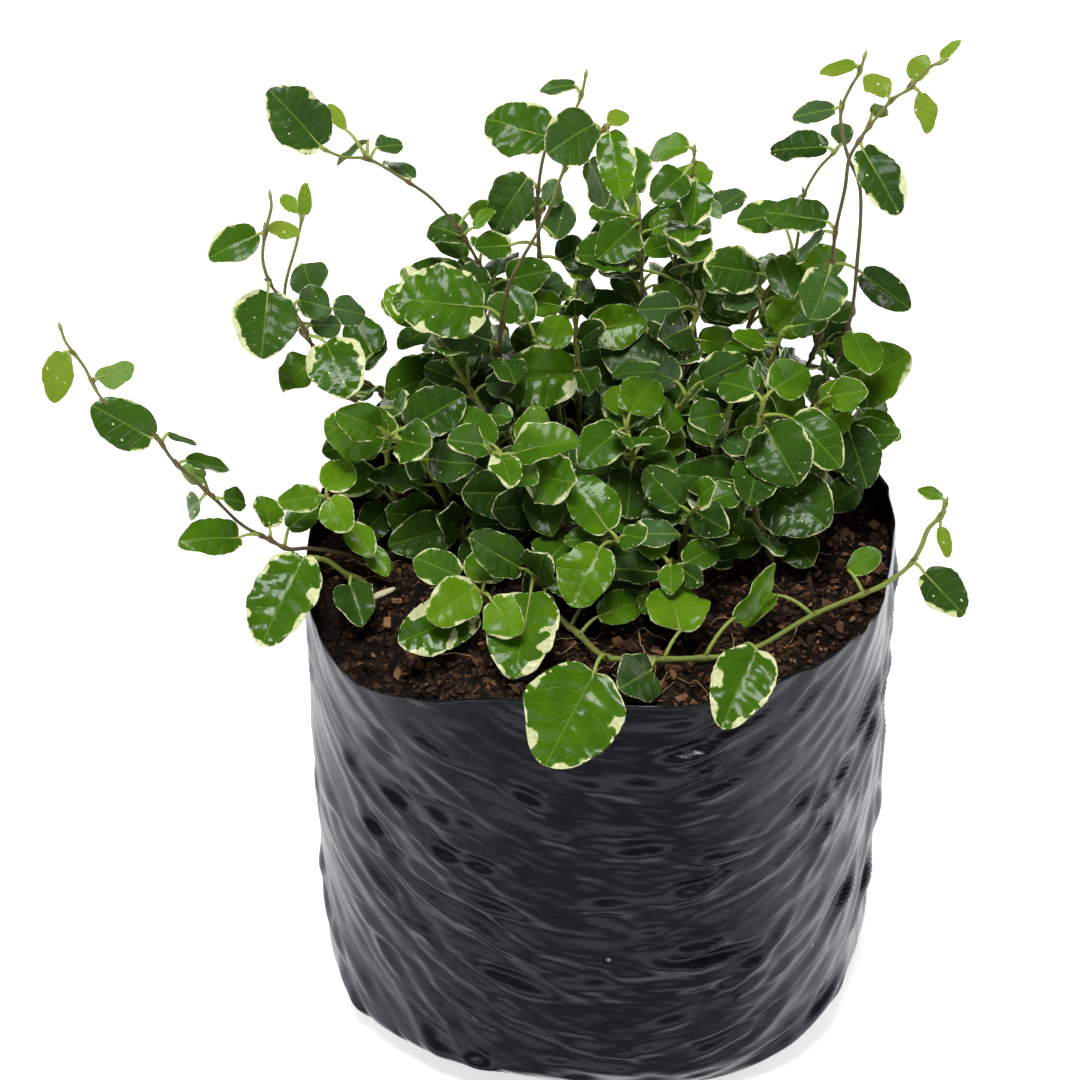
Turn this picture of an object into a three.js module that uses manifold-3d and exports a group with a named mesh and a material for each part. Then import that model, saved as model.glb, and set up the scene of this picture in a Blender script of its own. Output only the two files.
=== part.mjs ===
// Potted creeping fig: a young climbing plant with variegated leaves, in a black film nursery bag.
// Millimetres, +Z up. The origin is the middle of the bag's flat base, and the plant faces -Y.
import * as THREE from "three";
import { mergeVertices } from "three/addons/utils/BufferGeometryUtils.js";
import Module from "manifold-3d";

const wasm = await Module();
wasm.setup();

const DEGREE = Math.PI / 180;
const TURN = 2 * Math.PI;
const MERGE_DISTANCE = 1e-4; // vertices nearer than this are one
const TOUCH_GAP = 0.3; // between pieces that touch
const SECTORS = 30; // round the bag and the soil

// The bag is a slack film tube with rounded lower edge, higher at the back and drooping at the left front.
const BAG = {
  rimRadius: 82,
  midRadius: 83,
  lowRadius: 83.5,
  midShare: 0.55, // share of the height where the radius is midRadius
  rimPower: 1.5, // how late the wall turns from midRadius to rimRadius
  frontHeight: 136,
  backRise: 22,
  risePower: 1.6,
  riseTurn: 0.3, // radians that the highest point of the rim is turned from +Y
  droop: 19,
  droopAngle: 215 * DEGREE,
  droopSpread: 0.45,
  bulge: 4, // the slack rim stands out by this much at the left front
  bulgeAngle: 207 * DEGREE,
  bulgeSpread: 0.35,
  squareAngle: 212 * DEGREE,
  squareLow: 0.03, // how far the plan leans to a square, low and at the rim
  squareRim: 0.02,
  edgeRound: 15, // radius of the lower edge
  edgeRings: [2.2, 7], // heights of the rings on the rounded edge
  wallRings: [0.2, 0.4, 0.6, 0.8, 1], // shares of the height from the edge to the soil
  rimRings: [0.5, 1], // shares of the height from the soil to the rim
  wall: 0.9,
};

// Folds of the film: waves round the bag, how they slant over the height, and the share of the last wave.
const FOLD = { depth: 0.7, waves: [3, 5, 7], slants: [8, -6, 5], lastShare: 0.6 };

// The soil fills the bag to just under its front rim, and slopes down where the rim droops.
const SOIL = {
  top: 131,
  underRim: 2.5,
  slopePower: 4, // how close to the wall the slope begins
  relief: 1.1,
  rings: [0.84, 0.6, 0.36, 0.15], // shares of the radius, from the wall inwards
  seed: 11,
};

const STEM = {
  sides: 4,
  rootRadius: 0.9,
  tipRadius: 0.6,
  bud: 2.2, // the pointed bud at the end
  rootDepth: 10,
  straight: 2, // a stem stands upright up to this height above the soil
  sampleStep: 1.6, // between the points of the clearance test
};

const LEAF = {
  thickness: 0.75,
  petioleRadius: 0.48,
  shapePower: 0.72, // moves the widest place towards the base
  shapeRound: 0.7, // rounds the outline
  lobe: 0.09, // how far the heart-shaped base reaches back
  shortStations: [0.2, 0.6],
  longStations: [0.13, 0.42, 0.76],
  longFrom: 17.5, // leaves at least this long have three stations
  fold: [0.05, 0.32], // slope of each half up from the midrib
  curl: [0.02, 0.26], // droop of the tip as a share of the length
  wave: [0.25, 0.85], // height of the margin's waves
  waveFullWidth: 12, // narrower leaves have lower waves
  waves: [1.3, 2.1], // waves along the length
  lightScatter: 0.45, // how far the leaves differ in their turn to the light
};

// The upper faces of the leaves turn to the light, which comes from above and in front.
const LIGHT = new THREE.Vector3(0, -0.72, 0.69);
const UP = new THREE.Vector3(0, 0, 1);

// Clearances of leaves from what they must not cross.
const CLEAR = {
  leaf: 1.7,
  stem: 1.2,
  ownLeaf: 0.9,
  ground: 1.9,
  wall: 2.2,
  petiole: 0.7, // between a petiole and another stem
  petioleLess: 0.6, // a blade may be nearer to a petiole by this much
  margin: 0.8, // points this far outside a leaf's outline still count as over it
  ends: [0.02, 0.98], // shares of the length within which its surface is followed
  nearShare: 0.62, // leaves are tested when their middles are nearer than this share of both sizes
  nearExtra: 7, // and this much more
};

// Places on a leaf that are tested: along and across its blade, and along its petiole.
const SAMPLES = {
  along: [0.03, 0.15, 0.29, 0.43, 0.57, 0.71, 0.85, 1],
  across: [-1, -0.66, -0.33, 0, 0.33, 0.66, 1],
  petiole: [0.35, 0.7, 1],
};

const SHOOT_SEED = 100; // step between the seeds of two shoots, whose leaves have the seeds between

// Turns of a leaf about the foot of its petiole, tried in this order: yaw, pitch (degrees) and size.
const TURNS = [
  [0, 0, 1], [11, 0, 1], [-11, 0, 1], [0, 12, 1], [0, -12, 1], [22, 8, 1], [-22, 8, 1],
  [20, -14, 0.95], [-20, -14, 0.95], [38, 16, 0.9], [-38, 16, 0.9], [60, 5, 0.85], [-60, 5, 0.85],
];

// Shoots placed by hand. A path runs from the soil to the tip. A leaf is: place on the path in waypoints,
// base of the blade, tip of the blade, width, and roll in degrees about its own length where it isn't 0.
const SHOOTS = [
  {
    name: "left_runner",
    path: [[-62, -6, 131], [-68, -10, 136], [-75, -13, 140], [-82, -16, 143], [-87, -18, 144],
      [-92, -18, 147], [-99, -20, 153], [-106, -22, 163], [-115, -23, 174], [-119, -24, 182],
      [-126, -24, 188], [-132, -24, 193], [-136, -23, 202], [-140, -22, 208], [-141, -22, 212]],
    leaves: [
      [12.5, [-141, -23, 206], [-143, -32, 197], 8],
      [11.5, [-133, -22, 198], [-125, -16, 197], 8, 150],
      [9, [-120, -25, 182], [-133, -28, 193], 13.5],
      [8.7, [-116, -22, 182], [-109, -22, 178], 3, 60],
      [7.9, [-112, -21, 173], [-101, -18, 169], 7, -40],
      [7.1, [-108, -20, 167], [-114, -14, 167], 6, 150],
      [7.1, [-109, -23, 162], [-114, -19, 156], 8],
      [6.9, [-103, -22, 162], [-97, -17, 158], 7],
      [5.3, [-100, -21, 150], [-115, -27, 155], 11],
      [4.9, [-92, -15, 149], [-94, -5, 154], 9, 30],
      [4.2, [-88, -14, 148], [-83, -5, 151], 8],
    ],
  },
  {
    name: "left_low",
    path: [[-66, -19, 131], [-71, -20, 137], [-76, -21, 142], [-79, -23, 144]],
    leaves: [
      [3, [-82, -24, 145], [-93, -44, 131], 18],
      [0.8, [-70, -25, 137], [-66, -37, 134], 11],
    ],
  },
  {
    name: "left_rim",
    path: [[-60, -8, 131], [-66, -10, 138], [-71, -12, 145], [-74, -14, 150], [-76, -15, 155],
      [-76, -16, 159]],
    leaves: [
      [5, [-76, -15, 161], [-70, -6, 164], 10],
      [4.9, [-75, -17, 159], [-70, -25, 154], 10],
      [4.8, [-78, -16, 159], [-86, -24, 158], 8],
      [4.6, [-77, -17, 157], [-81, -23, 154], 5],
      [2.7, [-70, -13, 148], [-64, -22, 145], 8],
      [1.6, [-66, -13, 142], [-60, -21, 138], 6],
    ],
  },
  {
    name: "left_mid",
    path: [[-31, 52, 131], [-41, 44, 138], [-49, 36, 148], [-57, 28, 158], [-68, 18, 169],
      [-76, 10, 181], [-81, 5, 197], [-85, 2, 208], [-89, 1, 213], [-91, 0, 221], [-90, 0, 229],
      [-88, 0, 236], [-88, 0, 239]],
    leaves: [
      [10, [-92, -1, 229], [-104, -7, 226], 10],
      [10.1, [-89, 1, 230], [-81, 3, 228], 5],
      [8.3, [-90, -2, 213], [-91, -15, 201], 17],
      [6.8, [-83, 6, 207], [-74, 10, 203], 10],
      [6.3, [-80, 7, 199], [-72, 12, 197], 8],
      [6, [-76, 3, 196], [-69, -11, 188], 16],
      [5.5, [-80, 8, 189], [-87, -3, 187], 11],
      [4.4, [-69, 22, 172], [-76, 30, 170], 12],
      [3.6, [-60, 19, 168], [-58, 8, 174], 12],
    ],
  },
  {
    name: "left_twin",
    path: [[-48, 46, 131], [-51, 46, 142], [-57, 43, 154], [-66, 35, 166], [-75, 26, 177], [-82, 18, 189],
      [-86, 13, 199], [-87, 11, 208], [-83, 9, 222], [-81, 8, 230]],
    leaves: [
      [9, [-82, 9, 231], [-87, 16, 233], 4],
      [9, [-80, 8, 231], [-79, 9, 239], 4],
      [5.9, [-80, 17, 204], [-84, 28, 209], 11],
      [5.3, [-75, 18, 199], [-66, 23, 195], 9],
      [3.5, [-66, 36, 176], [-72, 44, 184], 12],
    ],
  },
  {
    name: "top_left",
    path: [[-22, 60, 131], [-24, 60, 150], [-28, 59, 170], [-32, 59, 184], [-37, 60, 195], [-42, 60, 204],
      [-49, 58, 214], [-57, 56, 221], [-66, 53, 228], [-73, 50, 230], [-78, 48, 233]],
    leaves: [
      [10, [-79, 48, 234], [-92, 50, 250], 16],
      [8.1, [-73, 56, 236], [-78, 64, 241], 4],
      [8, [-64, 55, 231], [-57, 60, 230], 7],
      [8.1, [-66, 55, 233], [-75, 60, 226], 5, 70],
      [6.8, [-55, 57, 221], [-62, 69, 224], 8, 40],
      [4.6, [-40, 61, 201], [-51, 71, 201], 11],
      [3.5, [-33, 54, 190], [-42, 44, 192], 14],
    ],
  },
  {
    name: "centre",
    path: [[-27, 48, 131], [-28, 46, 138], [-29, 43, 147], [-31, 38, 161], [-30, 32, 176], [-29, 24, 193],
      [-26, 16, 209], [-18, 8, 228], [-15, 4, 237], [-12, 0, 247], [-6, -2, 253], [-2, -3, 259]],
    leaves: [
      [5, [-34, 25, 196], [-58, 20, 202], 23],
      [9, [-16, 3, 254], [-33, 10, 258], 16],
      [10.7, [-5, -2, 260], [-16, 1, 251], 14],
      [10.9, [-1, -4, 258], [-1, -17, 247], 10],
      [10.9, [-1, -2, 260], [5, 1, 261], 5],
      [9.6, [-6, 0, 249], [0, 3, 235], 10],
      [3.5, [-9, 34, 171], [-30, 24, 173], 18, -25],
    ],
  },
  {
    name: "centre_back",
    path: [[-12, 58, 131], [-13, 60, 150], [-16, 62, 170], [-18, 62, 185], [-19, 62, 203], [-19, 60, 216],
      [-17, 58, 229], [-13, 56, 237], [-9, 54, 242], [-7, 54, 247], [-6, 54, 252]],
    leaves: [
      [8.9, [-9, 55, 249], [-18, 51, 250], 5],
      [5, [-22, 62, 219], [-34, 61, 202], 14],
      [4.1, [-14, 60, 201], [-11, 72, 208], 9],
      [4.2, [-17, 66, 209], [-25, 69, 205], 7],
      [3.7, [-27, 60, 199], [-37, 54, 201], 9],
      [3.5, [-13, 63, 193], [-4, 70, 195], 11],
    ],
  },
  {
    name: "back_mid",
    path: [[16, 56, 131], [20, 60, 148], [27, 64, 162], [27, 66, 172], [24, 68, 181], [21, 68, 190],
      [23, 66, 200], [25, 64, 210], [25, 62, 218], [25, 60, 228]],
    leaves: [
      [4.1, [8, 70, 185], [-2, 81, 197], 18],
      [9, [23, 60, 229], [11, 68, 225], 9],
      [8.5, [22, 57, 222], [14, 48, 219], 11],
      [8.1, [26, 59, 219], [25, 49, 211], 10],
      [7.2, [27, 62, 211], [35, 66, 206], 6],
      [6.1, [32, 67, 205], [44, 76, 209], 9],
      [5.3, [20, 66, 194], [14, 63, 198], 5],
      [3.6, [33, 70, 189], [37, 52, 177], 21],
      [3.3, [21, 66, 181], [17, 52, 170], 13],
    ],
  },
  {
    name: "right_tall",
    path: [[45, 45, 131], [47, 42, 145], [54, 34, 164], [59, 28, 183], [60, 27, 190], [61, 23, 210],
      [61, 20, 221], [62, 15, 235], [62, 11, 245], [64, 9, 251], [66, 8, 255], [71, 6, 263], [75, 4, 267],
      [79, 2, 273], [82, 1, 275]],
    leaves: [
      [14, [82, 1, 276], [86, 1, 281], 3],
      [11, [70, 7, 264], [65, 13, 268], 7],
      [12, [76, 5, 269], [79, 7, 275], 6],
      [12.1, [78, 3, 266], [80, -4, 259], 6],
      [10, [67, 10, 258], [72, 15, 258], 5],
      [9, [65, 8, 249], [74, -5, 238], 12],
      [6, [59, 22, 223], [44, 31, 225], 11],
      [5.9, [58, 21, 221], [49, 22, 213], 5, 50],
      [5, [61, 21, 208], [61, 10, 199], 14],
      [5, [69, 21, 206], [76, 8, 198], 9],
      [3, [58, 26, 184], [56, 11, 178], 15],
      [4.1, [54, 30, 196], [47, 33, 184], 13],
    ],
  },
  {
    name: "right_slim",
    path: [[52, 28, 131], [56, 23, 160], [66, 21, 190], [67, 17, 215], [66, 14, 235], [62, 13, 245],
      [60, 15, 252], [60, 17, 257], [62, 18, 262], [64, 18, 266], [65, 18, 270]],
    leaves: [
      [9.1, [63, 19, 268], [54, 14, 268], 4],
      [7, [58, 16, 257], [47, 19, 254], 6],
      [1.6, [68, 20, 172], [82, 16, 186], 18],
      [1.4, [72, 18, 166], [82, 12, 162], 7],
    ],
  },
  {
    name: "right_second",
    path: [[27, 20, 131], [30, 26, 138], [37, 33, 148], [40, 40, 160], [41, 44, 169], [41, 44, 180],
      [44, 42, 190], [48, 41, 197], [52, 38, 204], [53, 34, 218], [53, 31, 226], [56, 28, 235],
      [60, 26, 241]],
    leaves: [
      [12, [58, 27, 242], [43, 33, 240], 10],
      [12, [61, 28, 243], [56, 36, 245], 7],
      [10.1, [51, 27, 221], [40, 16, 215], 11],
      [8, [47, 38, 205], [51, 27, 198], 9],
      [8.1, [50, 42, 212], [46, 51, 214], 9],
      [6, [39, 45, 195], [28, 54, 196], 13],
      [4.5, [47, 48, 178], [56, 58, 180], 14],
      [2.5, [40, 30, 158], [46, 18, 160], 14],
    ],
  },
  {
    name: "right_mid",
    path: [[57, 6, 131], [60, 12, 142], [63, 16, 154], [67, 17, 165], [69, 15, 172]],
    leaves: [
      [3.6, [67, 10, 166], [72, 0, 153], 14],
      [4, [65, 13, 171], [58, 6, 168], 9],
      [2, [61, 20, 154], [56, 28, 150], 14],
    ],
  },
  {
    name: "right_runner",
    path: [[-14, -36, 131], [-11, -41, 134], [-8, -47, 135], [-4, -56, 136], [0, -61, 137], [10, -60, 136],
      [22, -58, 135], [32, -55, 134], [40, -50, 134], [54, -39, 136], [68, -33, 139], [74, -31, 141],
      [80, -29, 145], [83, -28, 150], [85, -26, 155], [88, -26, 159], [89, -26, 163]],
    leaves: [
      [3.8, [-5, -79, 145], [-17, -96, 129], 24],
      [7.1, [36, -72, 147], [27, -90, 138], 16],
      [5.3, [18, -54, 141], [16, -38, 146], 17],
      [5.1, [10, -65, 136], [2, -77, 139], 13],
      [6.2, [32, -51, 143], [45, -37, 150], 9, 60],
      [9, [44, -35, 140], [35, -45, 138], 7, 40],
      [10, [64, -29, 144], [74, -21, 145], 7, 20],
      [12.3, [84, -32, 145], [94, -41, 138], 11],
      [15, [88, -27, 156], [90, -33, 151], 4],
      [16, [88, -25, 164], [82, -21, 165], 4],
      [2, [-3, -44, 139], [10, -35, 139], 9],
      [1.2, [-4, -38, 141], [-12, -24, 145], 14],
    ],
  },
  {
    name: "front_left",
    path: [[-31, -31, 131], [-31, -34, 136], [-33, -38, 141], [-34, -41, 144]],
    leaves: [
      [3, [-36, -41, 146], [-47, -52, 143], 13],
      [2.8, [-33, -38, 146], [-33, -24, 150], 12],
      [2.6, [-31, -49, 147], [-24, -59, 143], 11],
      [2, [-36, -42, 139], [-55, -53, 137], 15],
      [3, [-40, -37, 147], [-52, -29, 148], 10],
    ],
  },
  {
    name: "front_mid",
    path: [[-16, -24, 131], [-17, -27, 137], [-19, -31, 142], [-20, -34, 145]],
    leaves: [
      [3, [-21, -42, 145], [-25, -67, 136], 18],
      [3, [-17, -32, 148], [-9, -18, 150], 14],
      [1.6, [-9, -29, 138], [11, -19, 137], 11],
    ],
  },
  {
    name: "soil_pair",
    path: [[-40, 3, 131], [-40, 2, 136], [-40, 1, 139]],
    leaves: [
      [2, [-42, 0, 140], [-60, -7, 139], 13],
      [1.6, [-37, 2, 140], [-20, 7, 137], 11],
    ],
  },
  {
    name: "right_front",
    path: [[46, -6, 131], [43, -4, 140], [41, -2, 150], [41, -1, 160], [41, 0, 171], [42, 1, 179]],
    leaves: [
      [1, [42, -8, 142], [25, -14, 143], 13],
      [2, [39, 1, 150], [32, 12, 153], 12],
      [2.6, [45, -4, 156], [59, -18, 151], 20],
      [4, [43, -3, 173], [50, -17, 165], 19],
      [4.4, [50, -1, 174], [60, -15, 168], 14],
      [5, [40, 3, 181], [30, 10, 182], 12],
      [5, [45, 3, 182], [55, 12, 184], 12],
      [1.2, [49, -6, 142], [56, -18, 139], 11],
    ],
  },
  {
    name: "middle",
    path: [[10, 14, 131], [10, 10, 139], [9, 6, 149], [7, 2, 161], [5, 0, 171]],
    leaves: [
      [2, [13, 3, 148], [23, -5, 147], 11],
      [2.9, [5, -1, 159], [-1, -14, 153], 14],
      [3, [10, 5, 164], [23, 13, 163], 13],
      [4, [3, -2, 172], [-7, -14, 170], 12],
      [4, [6, 2, 175], [13, 14, 180], 13],
      [1.7, [6, 3, 144], [0, -11, 140], 12],
    ],
  },
  {
    name: "middle_front",
    path: [[-5, -9, 131], [-4, -11, 139], [-2, -13, 147], [-1, -15, 152]],
    leaves: [
      [3, [1, -16, 155], [9, -27, 152], 11],
      [2, [-1, -15, 144], [6, -28, 140], 11],
      [2.7, [-4, -14, 153], [-14, -8, 156], 11],
    ],
  },
  {
    name: "front_right",
    path: [[14, -28, 131], [15, -30, 137], [16, -32, 144], [16, -33, 148]],
    leaves: [
      [3, [16, -35, 149], [16, -44, 146], 7],
      [2.9, [14, -31, 150], [8, -22, 153], 9],
      [2.4, [20, -32, 148], [29, -25, 149], 9],
    ],
  },
  {
    name: "left_bush",
    path: [[-57, 9, 131], [-59, 11, 141], [-61, 13, 152], [-62, 15, 163]],
    leaves: [
      [3, [-61, 14, 166], [-59, 26, 176], 7],
      [2, [-65, 11, 152], [-74, 2, 152], 10],
      [2.4, [-57, 11, 158], [-46, 1, 157], 13],
      [3, [-64, 17, 165], [-75, 21, 165], 10],
    ],
  },
];

// The inner bush: shoots that rise from the crown by a rule, on a spiral of roots.
const BUSH = {
  shoots: 16,
  centre: [2, 22],
  reach: [54, 40],
  height: [38, 58],
  backExtra: 0.42, // taller by this much for each millimetre towards the back
  lean: [8, 24],
  nodeSpacing: 8.5,
  firstNode: 0.28, // share of the path that has no leaves
  leafLength: [14, 23],
  widthShare: [0.7, 0.9],
  petiole: [3.5, 7],
  pitch: [-12, 34], // degrees, low to high on the shoot
  petioleRise: 0.45, // how much steeper a petiole rises than its blade
  side: [55, 110], // degrees from the shoot's outward direction, left and right in turn
  pitchScatter: 30,
  rollScatter: 50,
  tipShorter: 0.25, // the topmost leaf is shorter by this share
  turnScatter: 1.2, // radians that a shoot turns from straight outwards
  rises: [0.3, 0.55, 0.8, 1], // shares of the height at which the path has points
  closest: 3.6, // between the middles of two stems
  attempts: 6, // to find a free place for a root
  attemptShift: 3,
  seed: 29,
  leafSeed: 5000,
};

/** A small seeded generator: each call gives the next number from 0 to 1. */
function random(seed) {
  let state = seed >>> 0;
  return () => {
    state = (state + 0x6d2b79f5) >>> 0;
    let mixed = Math.imul(state ^ (state >>> 15), 1 | state);
    mixed = (mixed + Math.imul(mixed ^ (mixed >>> 7), 61 | mixed)) ^ mixed;
    return ((mixed ^ (mixed >>> 14)) >>> 0) / 4294967296;
  };
}

const between = ([low, high], share) => low + (high - low) * share;
const vector = ([x, y, z]) => new THREE.Vector3(x, y, z);

/** A bell curve round an angle, 1 at its middle. */
function bell(theta, middle, spread) {
  const away = Math.atan2(Math.sin(theta - middle), Math.cos(theta - middle));
  return Math.exp(-((away / spread) ** 2));
}

/** Height of the bag's rim in a direction. */
function rimHeight(theta) {
  const rise = (0.5 + 0.5 * Math.sin(theta - BAG.riseTurn)) ** BAG.risePower;
  return BAG.frontHeight + BAG.backRise * rise - BAG.droop * bell(theta, BAG.droopAngle, BAG.droopSpread);
}

/** Outer radius of the bag in a direction at a height, without its folds. */
function bagRadius(theta, z) {
  const v = Math.min(Math.max(z / rimHeight(theta), 0), 1);
  const low = Math.sin((Math.min(v / BAG.midShare, 1) * Math.PI) / 2);
  const high = Math.max((v - BAG.midShare) / (1 - BAG.midShare), 0) ** BAG.rimPower;
  const round = between([BAG.lowRadius, BAG.midRadius], low) + (BAG.rimRadius - BAG.midRadius) * high;
  const square = between([BAG.squareLow, BAG.squareRim], v);
  const plan = round * (1 + square * Math.cos(4 * (theta - BAG.squareAngle)));
  const under = Math.max(1 - z / BAG.edgeRound, 0);
  const edge = BAG.edgeRound * (1 - Math.sqrt(1 - under * under));
  return plan + BAG.bulge * v * bell(theta, BAG.bulgeAngle, BAG.bulgeSpread) - edge;
}

/** Shallow slanting folds of the film, none at the base. */
function foldHeight(theta, z) {
  const v = z / rimHeight(theta);
  const [broad, cross, last] = FOLD.waves.map((waves, i) => Math.sin(waves * theta + FOLD.slants[i] * v));
  return FOLD.depth * (broad * cross + FOLD.lastShare * last) * Math.min(z / BAG.edgeRound, 1);
}

/** Height at which the soil meets the bag's wall. */
function soilEdge(theta) {
  return Math.min(SOIL.top, rimHeight(theta) - SOIL.underRim);
}

/** Height of the soil's smooth surface. */
function soilHeight(x, y) {
  const theta = Math.atan2(y, x);
  const share = Math.min(Math.hypot(x, y) / BAG.rimRadius, 1);
  return SOIL.top - (SOIL.top - soilEdge(theta)) * share ** SOIL.slopePower;
}

/** Ring of points round the bag at a height given by a function of the direction, inset from its skin. */
function ring(heightOf, inset) {
  return Array.from({ length: SECTORS }, (_, i) => {
    const theta = (TURN * i) / SECTORS;
    const z = heightOf(theta);
    const radius = bagRadius(theta, z) + foldHeight(theta, z) - inset;
    return new THREE.Vector3(radius * Math.cos(theta), radius * Math.sin(theta), z);
  });
}

/** Closed geometry from rings stacked from one end to the other, each end closed by a fan to a point. */
function stackedRings(first, rings, last) {
  const count = rings[0].length;
  const points = [first, ...rings.flat(), last];
  const index = [];
  const at = (row, column) => 1 + row * count + (column % count);
  for (let i = 0; i < count; i++) {
    index.push(0, at(0, i + 1), at(0, i));
    for (let row = 0; row + 1 < rings.length; row++) {
      index.push(at(row, i), at(row, i + 1), at(row + 1, i + 1));
      index.push(at(row, i), at(row + 1, i + 1), at(row + 1, i));
    }
    index.push(points.length - 1, at(rings.length - 1, i), at(rings.length - 1, i + 1));
  }
  return geometryOf(points, index);
}

function geometryOf(points, index) {
  const geometry = new THREE.BufferGeometry().setFromPoints(points);
  geometry.setIndex(index);
  return geometry;
}

// Heights of the rings that the bag and the soil share, from the lower edge to the soil's edge.
const SHARED_HEIGHTS = [
  ...[...BAG.edgeRings, BAG.edgeRound].map((height) => () => height),
  ...BAG.wallRings.map((share) => (theta) => between([BAG.edgeRound, soilEdge(theta)], share)),
];

/** The bag: an open film tube with a flat base. */
function bagGeometry() {
  const above = BAG.rimRings.map((share) => (theta) => between([soilEdge(theta), rimHeight(theta)], share));
  const walls = [...SHARED_HEIGHTS, ...above];
  const outside = [ring(() => 0, 0), ...walls.map((height) => ring(height, 0))];
  const inside = [ring(() => BAG.wall, BAG.wall), ...walls.map((height) => ring(height, BAG.wall))];
  return stackedRings(
    new THREE.Vector3(0, 0, 0),
    [...outside, ...inside.reverse()],
    new THREE.Vector3(0, 0, BAG.wall),
  );
}

/** The soil: fills the bag, with a crumbly top. */
function soilGeometry() {
  const inset = BAG.wall + TOUCH_GAP;
  const sides = [ring(() => inset, inset), ...SHARED_HEIGHTS.map((height) => ring(height, inset))];
  const edge = sides[sides.length - 1];
  const draw = random(SOIL.seed);
  const crumb = () => SOIL.relief * (2 * draw() - 1);
  const top = SOIL.rings.map((share) =>
    edge.map((p) => {
      const x = p.x * share;
      const y = p.y * share;
      return new THREE.Vector3(x, y, soilHeight(x, y) + crumb());
    }),
  );
  return stackedRings(new THREE.Vector3(0, 0, inset), [...sides, ...top], new THREE.Vector3(0, 0, SOIL.top));
}

/** A closed geometry as a solid. */
function solidOf(geometry) {
  const bare = geometry.clone();
  bare.deleteAttribute("normal");
  bare.deleteAttribute("uv");
  const merged = mergeVertices(bare, MERGE_DISTANCE);
  const mesh = new wasm.Mesh({
    numProp: 3,
    vertProperties: merged.attributes.position.array,
    triVerts: new Uint32Array(merged.index.array),
  });
  return new wasm.Manifold(mesh);
}

/** A solid as geometry. */
function geometryFrom(solid) {
  const { vertProperties, triVerts } = solid.getMesh();
  const geometry = new THREE.BufferGeometry();
  geometry.setAttribute("position", new THREE.BufferAttribute(vertProperties, 3));
  geometry.setIndex(new THREE.BufferAttribute(triVerts, 1));
  return geometry;
}

/** The corners of a stem: its root below the soil, upright up to the first bend, and its path. */
function rooted(path) {
  const [[x, y, z], ...rest] = path;
  return [[x, y, z - STEM.rootDepth], [x, y, z + STEM.straight], ...rest].map(vector);
}

/** Radius of a stem at a share of its corners, thinner towards the tip. */
const stemRadius = (share) => between([STEM.rootRadius, STEM.tipRadius], share);

/** Point of a stem at a place counted in waypoints from the soil. */
function stemPoint(corners, place) {
  const whole = Math.min(Math.max(Math.floor(place), 0), corners.length - 3);
  return corners[whole + 1].clone().lerp(corners[whole + 2], place - whole);
}

/** A tapered stem through its corners, ending in a bud. */
function stemGeometry(corners) {
  let side = new THREE.Vector3(1, 0, 0);
  const rings = corners.map((corner, i) => {
    const before = corners[Math.max(i - 1, 0)];
    const after = corners[Math.min(i + 1, corners.length - 1)];
    const toHere = corner.clone().sub(before).normalize();
    const onward = after.clone().sub(corner).normalize();
    const along = toHere.add(onward).normalize();
    side = side.clone().addScaledVector(along, -side.dot(along)).normalize();
    const across = new THREE.Vector3().crossVectors(along, side);
    const radius = stemRadius(i / (corners.length - 1));
    return Array.from({ length: STEM.sides }, (_, k) => {
      const angle = (TURN * k) / STEM.sides;
      return corner.clone()
        .addScaledVector(side, radius * Math.cos(angle))
        .addScaledVector(across, radius * Math.sin(angle));
    });
  });
  const [beforeLast, last] = corners.slice(-2);
  const bud = last.clone().addScaledVector(last.clone().sub(beforeLast).normalize(), STEM.bud);
  return stackedRings(corners[0], rings, bud);
}

/** Points along a stem, each with its radius. */
function stemSamples(corners) {
  const samples = [];
  for (let i = 0; i + 1 < corners.length; i++) {
    const steps = Math.ceil(corners[i].distanceTo(corners[i + 1]) / STEM.sampleStep);
    for (let k = 0; k < steps; k++) {
      const share = (i + k / steps) / (corners.length - 1);
      samples.push({ point: corners[i].clone().lerp(corners[i + 1], k / steps), radius: stemRadius(share) });
    }
  }
  return samples;
}

/** A leaf: frame, size and the draws that shape it. */
function makeLeaf(foot, base, tip, width, roll, seed) {
  const draw = random(seed);
  const along = tip.clone().sub(base);
  const length = along.length();
  along.normalize();
  const scatter = new THREE.Vector3(draw() - 0.5, draw() - 0.5, draw() - 0.5);
  const up = LIGHT.clone().addScaledVector(scatter, LEAF.lightScatter);
  up.addScaledVector(along, -up.dot(along)).normalize();
  up.applyAxisAngle(along, roll * DEGREE);
  const side = new THREE.Vector3().crossVectors(up, along);
  return {
    foot, base, along, side, up, length, width,
    fold: between(LEAF.fold, draw()),
    curl: between(LEAF.curl, draw()),
    wave: between(LEAF.wave, draw()) * Math.min(width / LEAF.waveFullWidth, 1),
    waves: between(LEAF.waves, draw()),
    phases: [draw(), draw()],
  };
}

/** Half of a leaf's width at a share of its length. */
function halfWidth(leaf, s) {
  if (s <= 0 || s >= 1) return 0;
  return (leaf.width / 2) * Math.sin(Math.PI * s ** LEAF.shapePower) ** LEAF.shapeRound;
}

/** Height of a leaf's surface over its flat frame, q being the place across from -1 to 1. */
function leafHeight(leaf, s, q) {
  const phase = leaf.phases[q < 0 ? 0 : 1];
  const ripple = leaf.wave * q * q * Math.sin(TURN * (leaf.waves * s + phase));
  return leaf.fold * Math.abs(q) * halfWidth(leaf, s) - leaf.curl * leaf.length * s * s + ripple;
}

/** Point of a leaf's middle surface. */
function leafPoint(leaf, s, q) {
  const back = LEAF.lobe * q * q * (1 - s) ** 3;
  return leaf.base.clone()
    .addScaledVector(leaf.along, leaf.length * (s - back))
    .addScaledVector(leaf.side, q * halfWidth(leaf, s))
    .addScaledVector(leaf.up, leafHeight(leaf, s, q));
}

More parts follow.
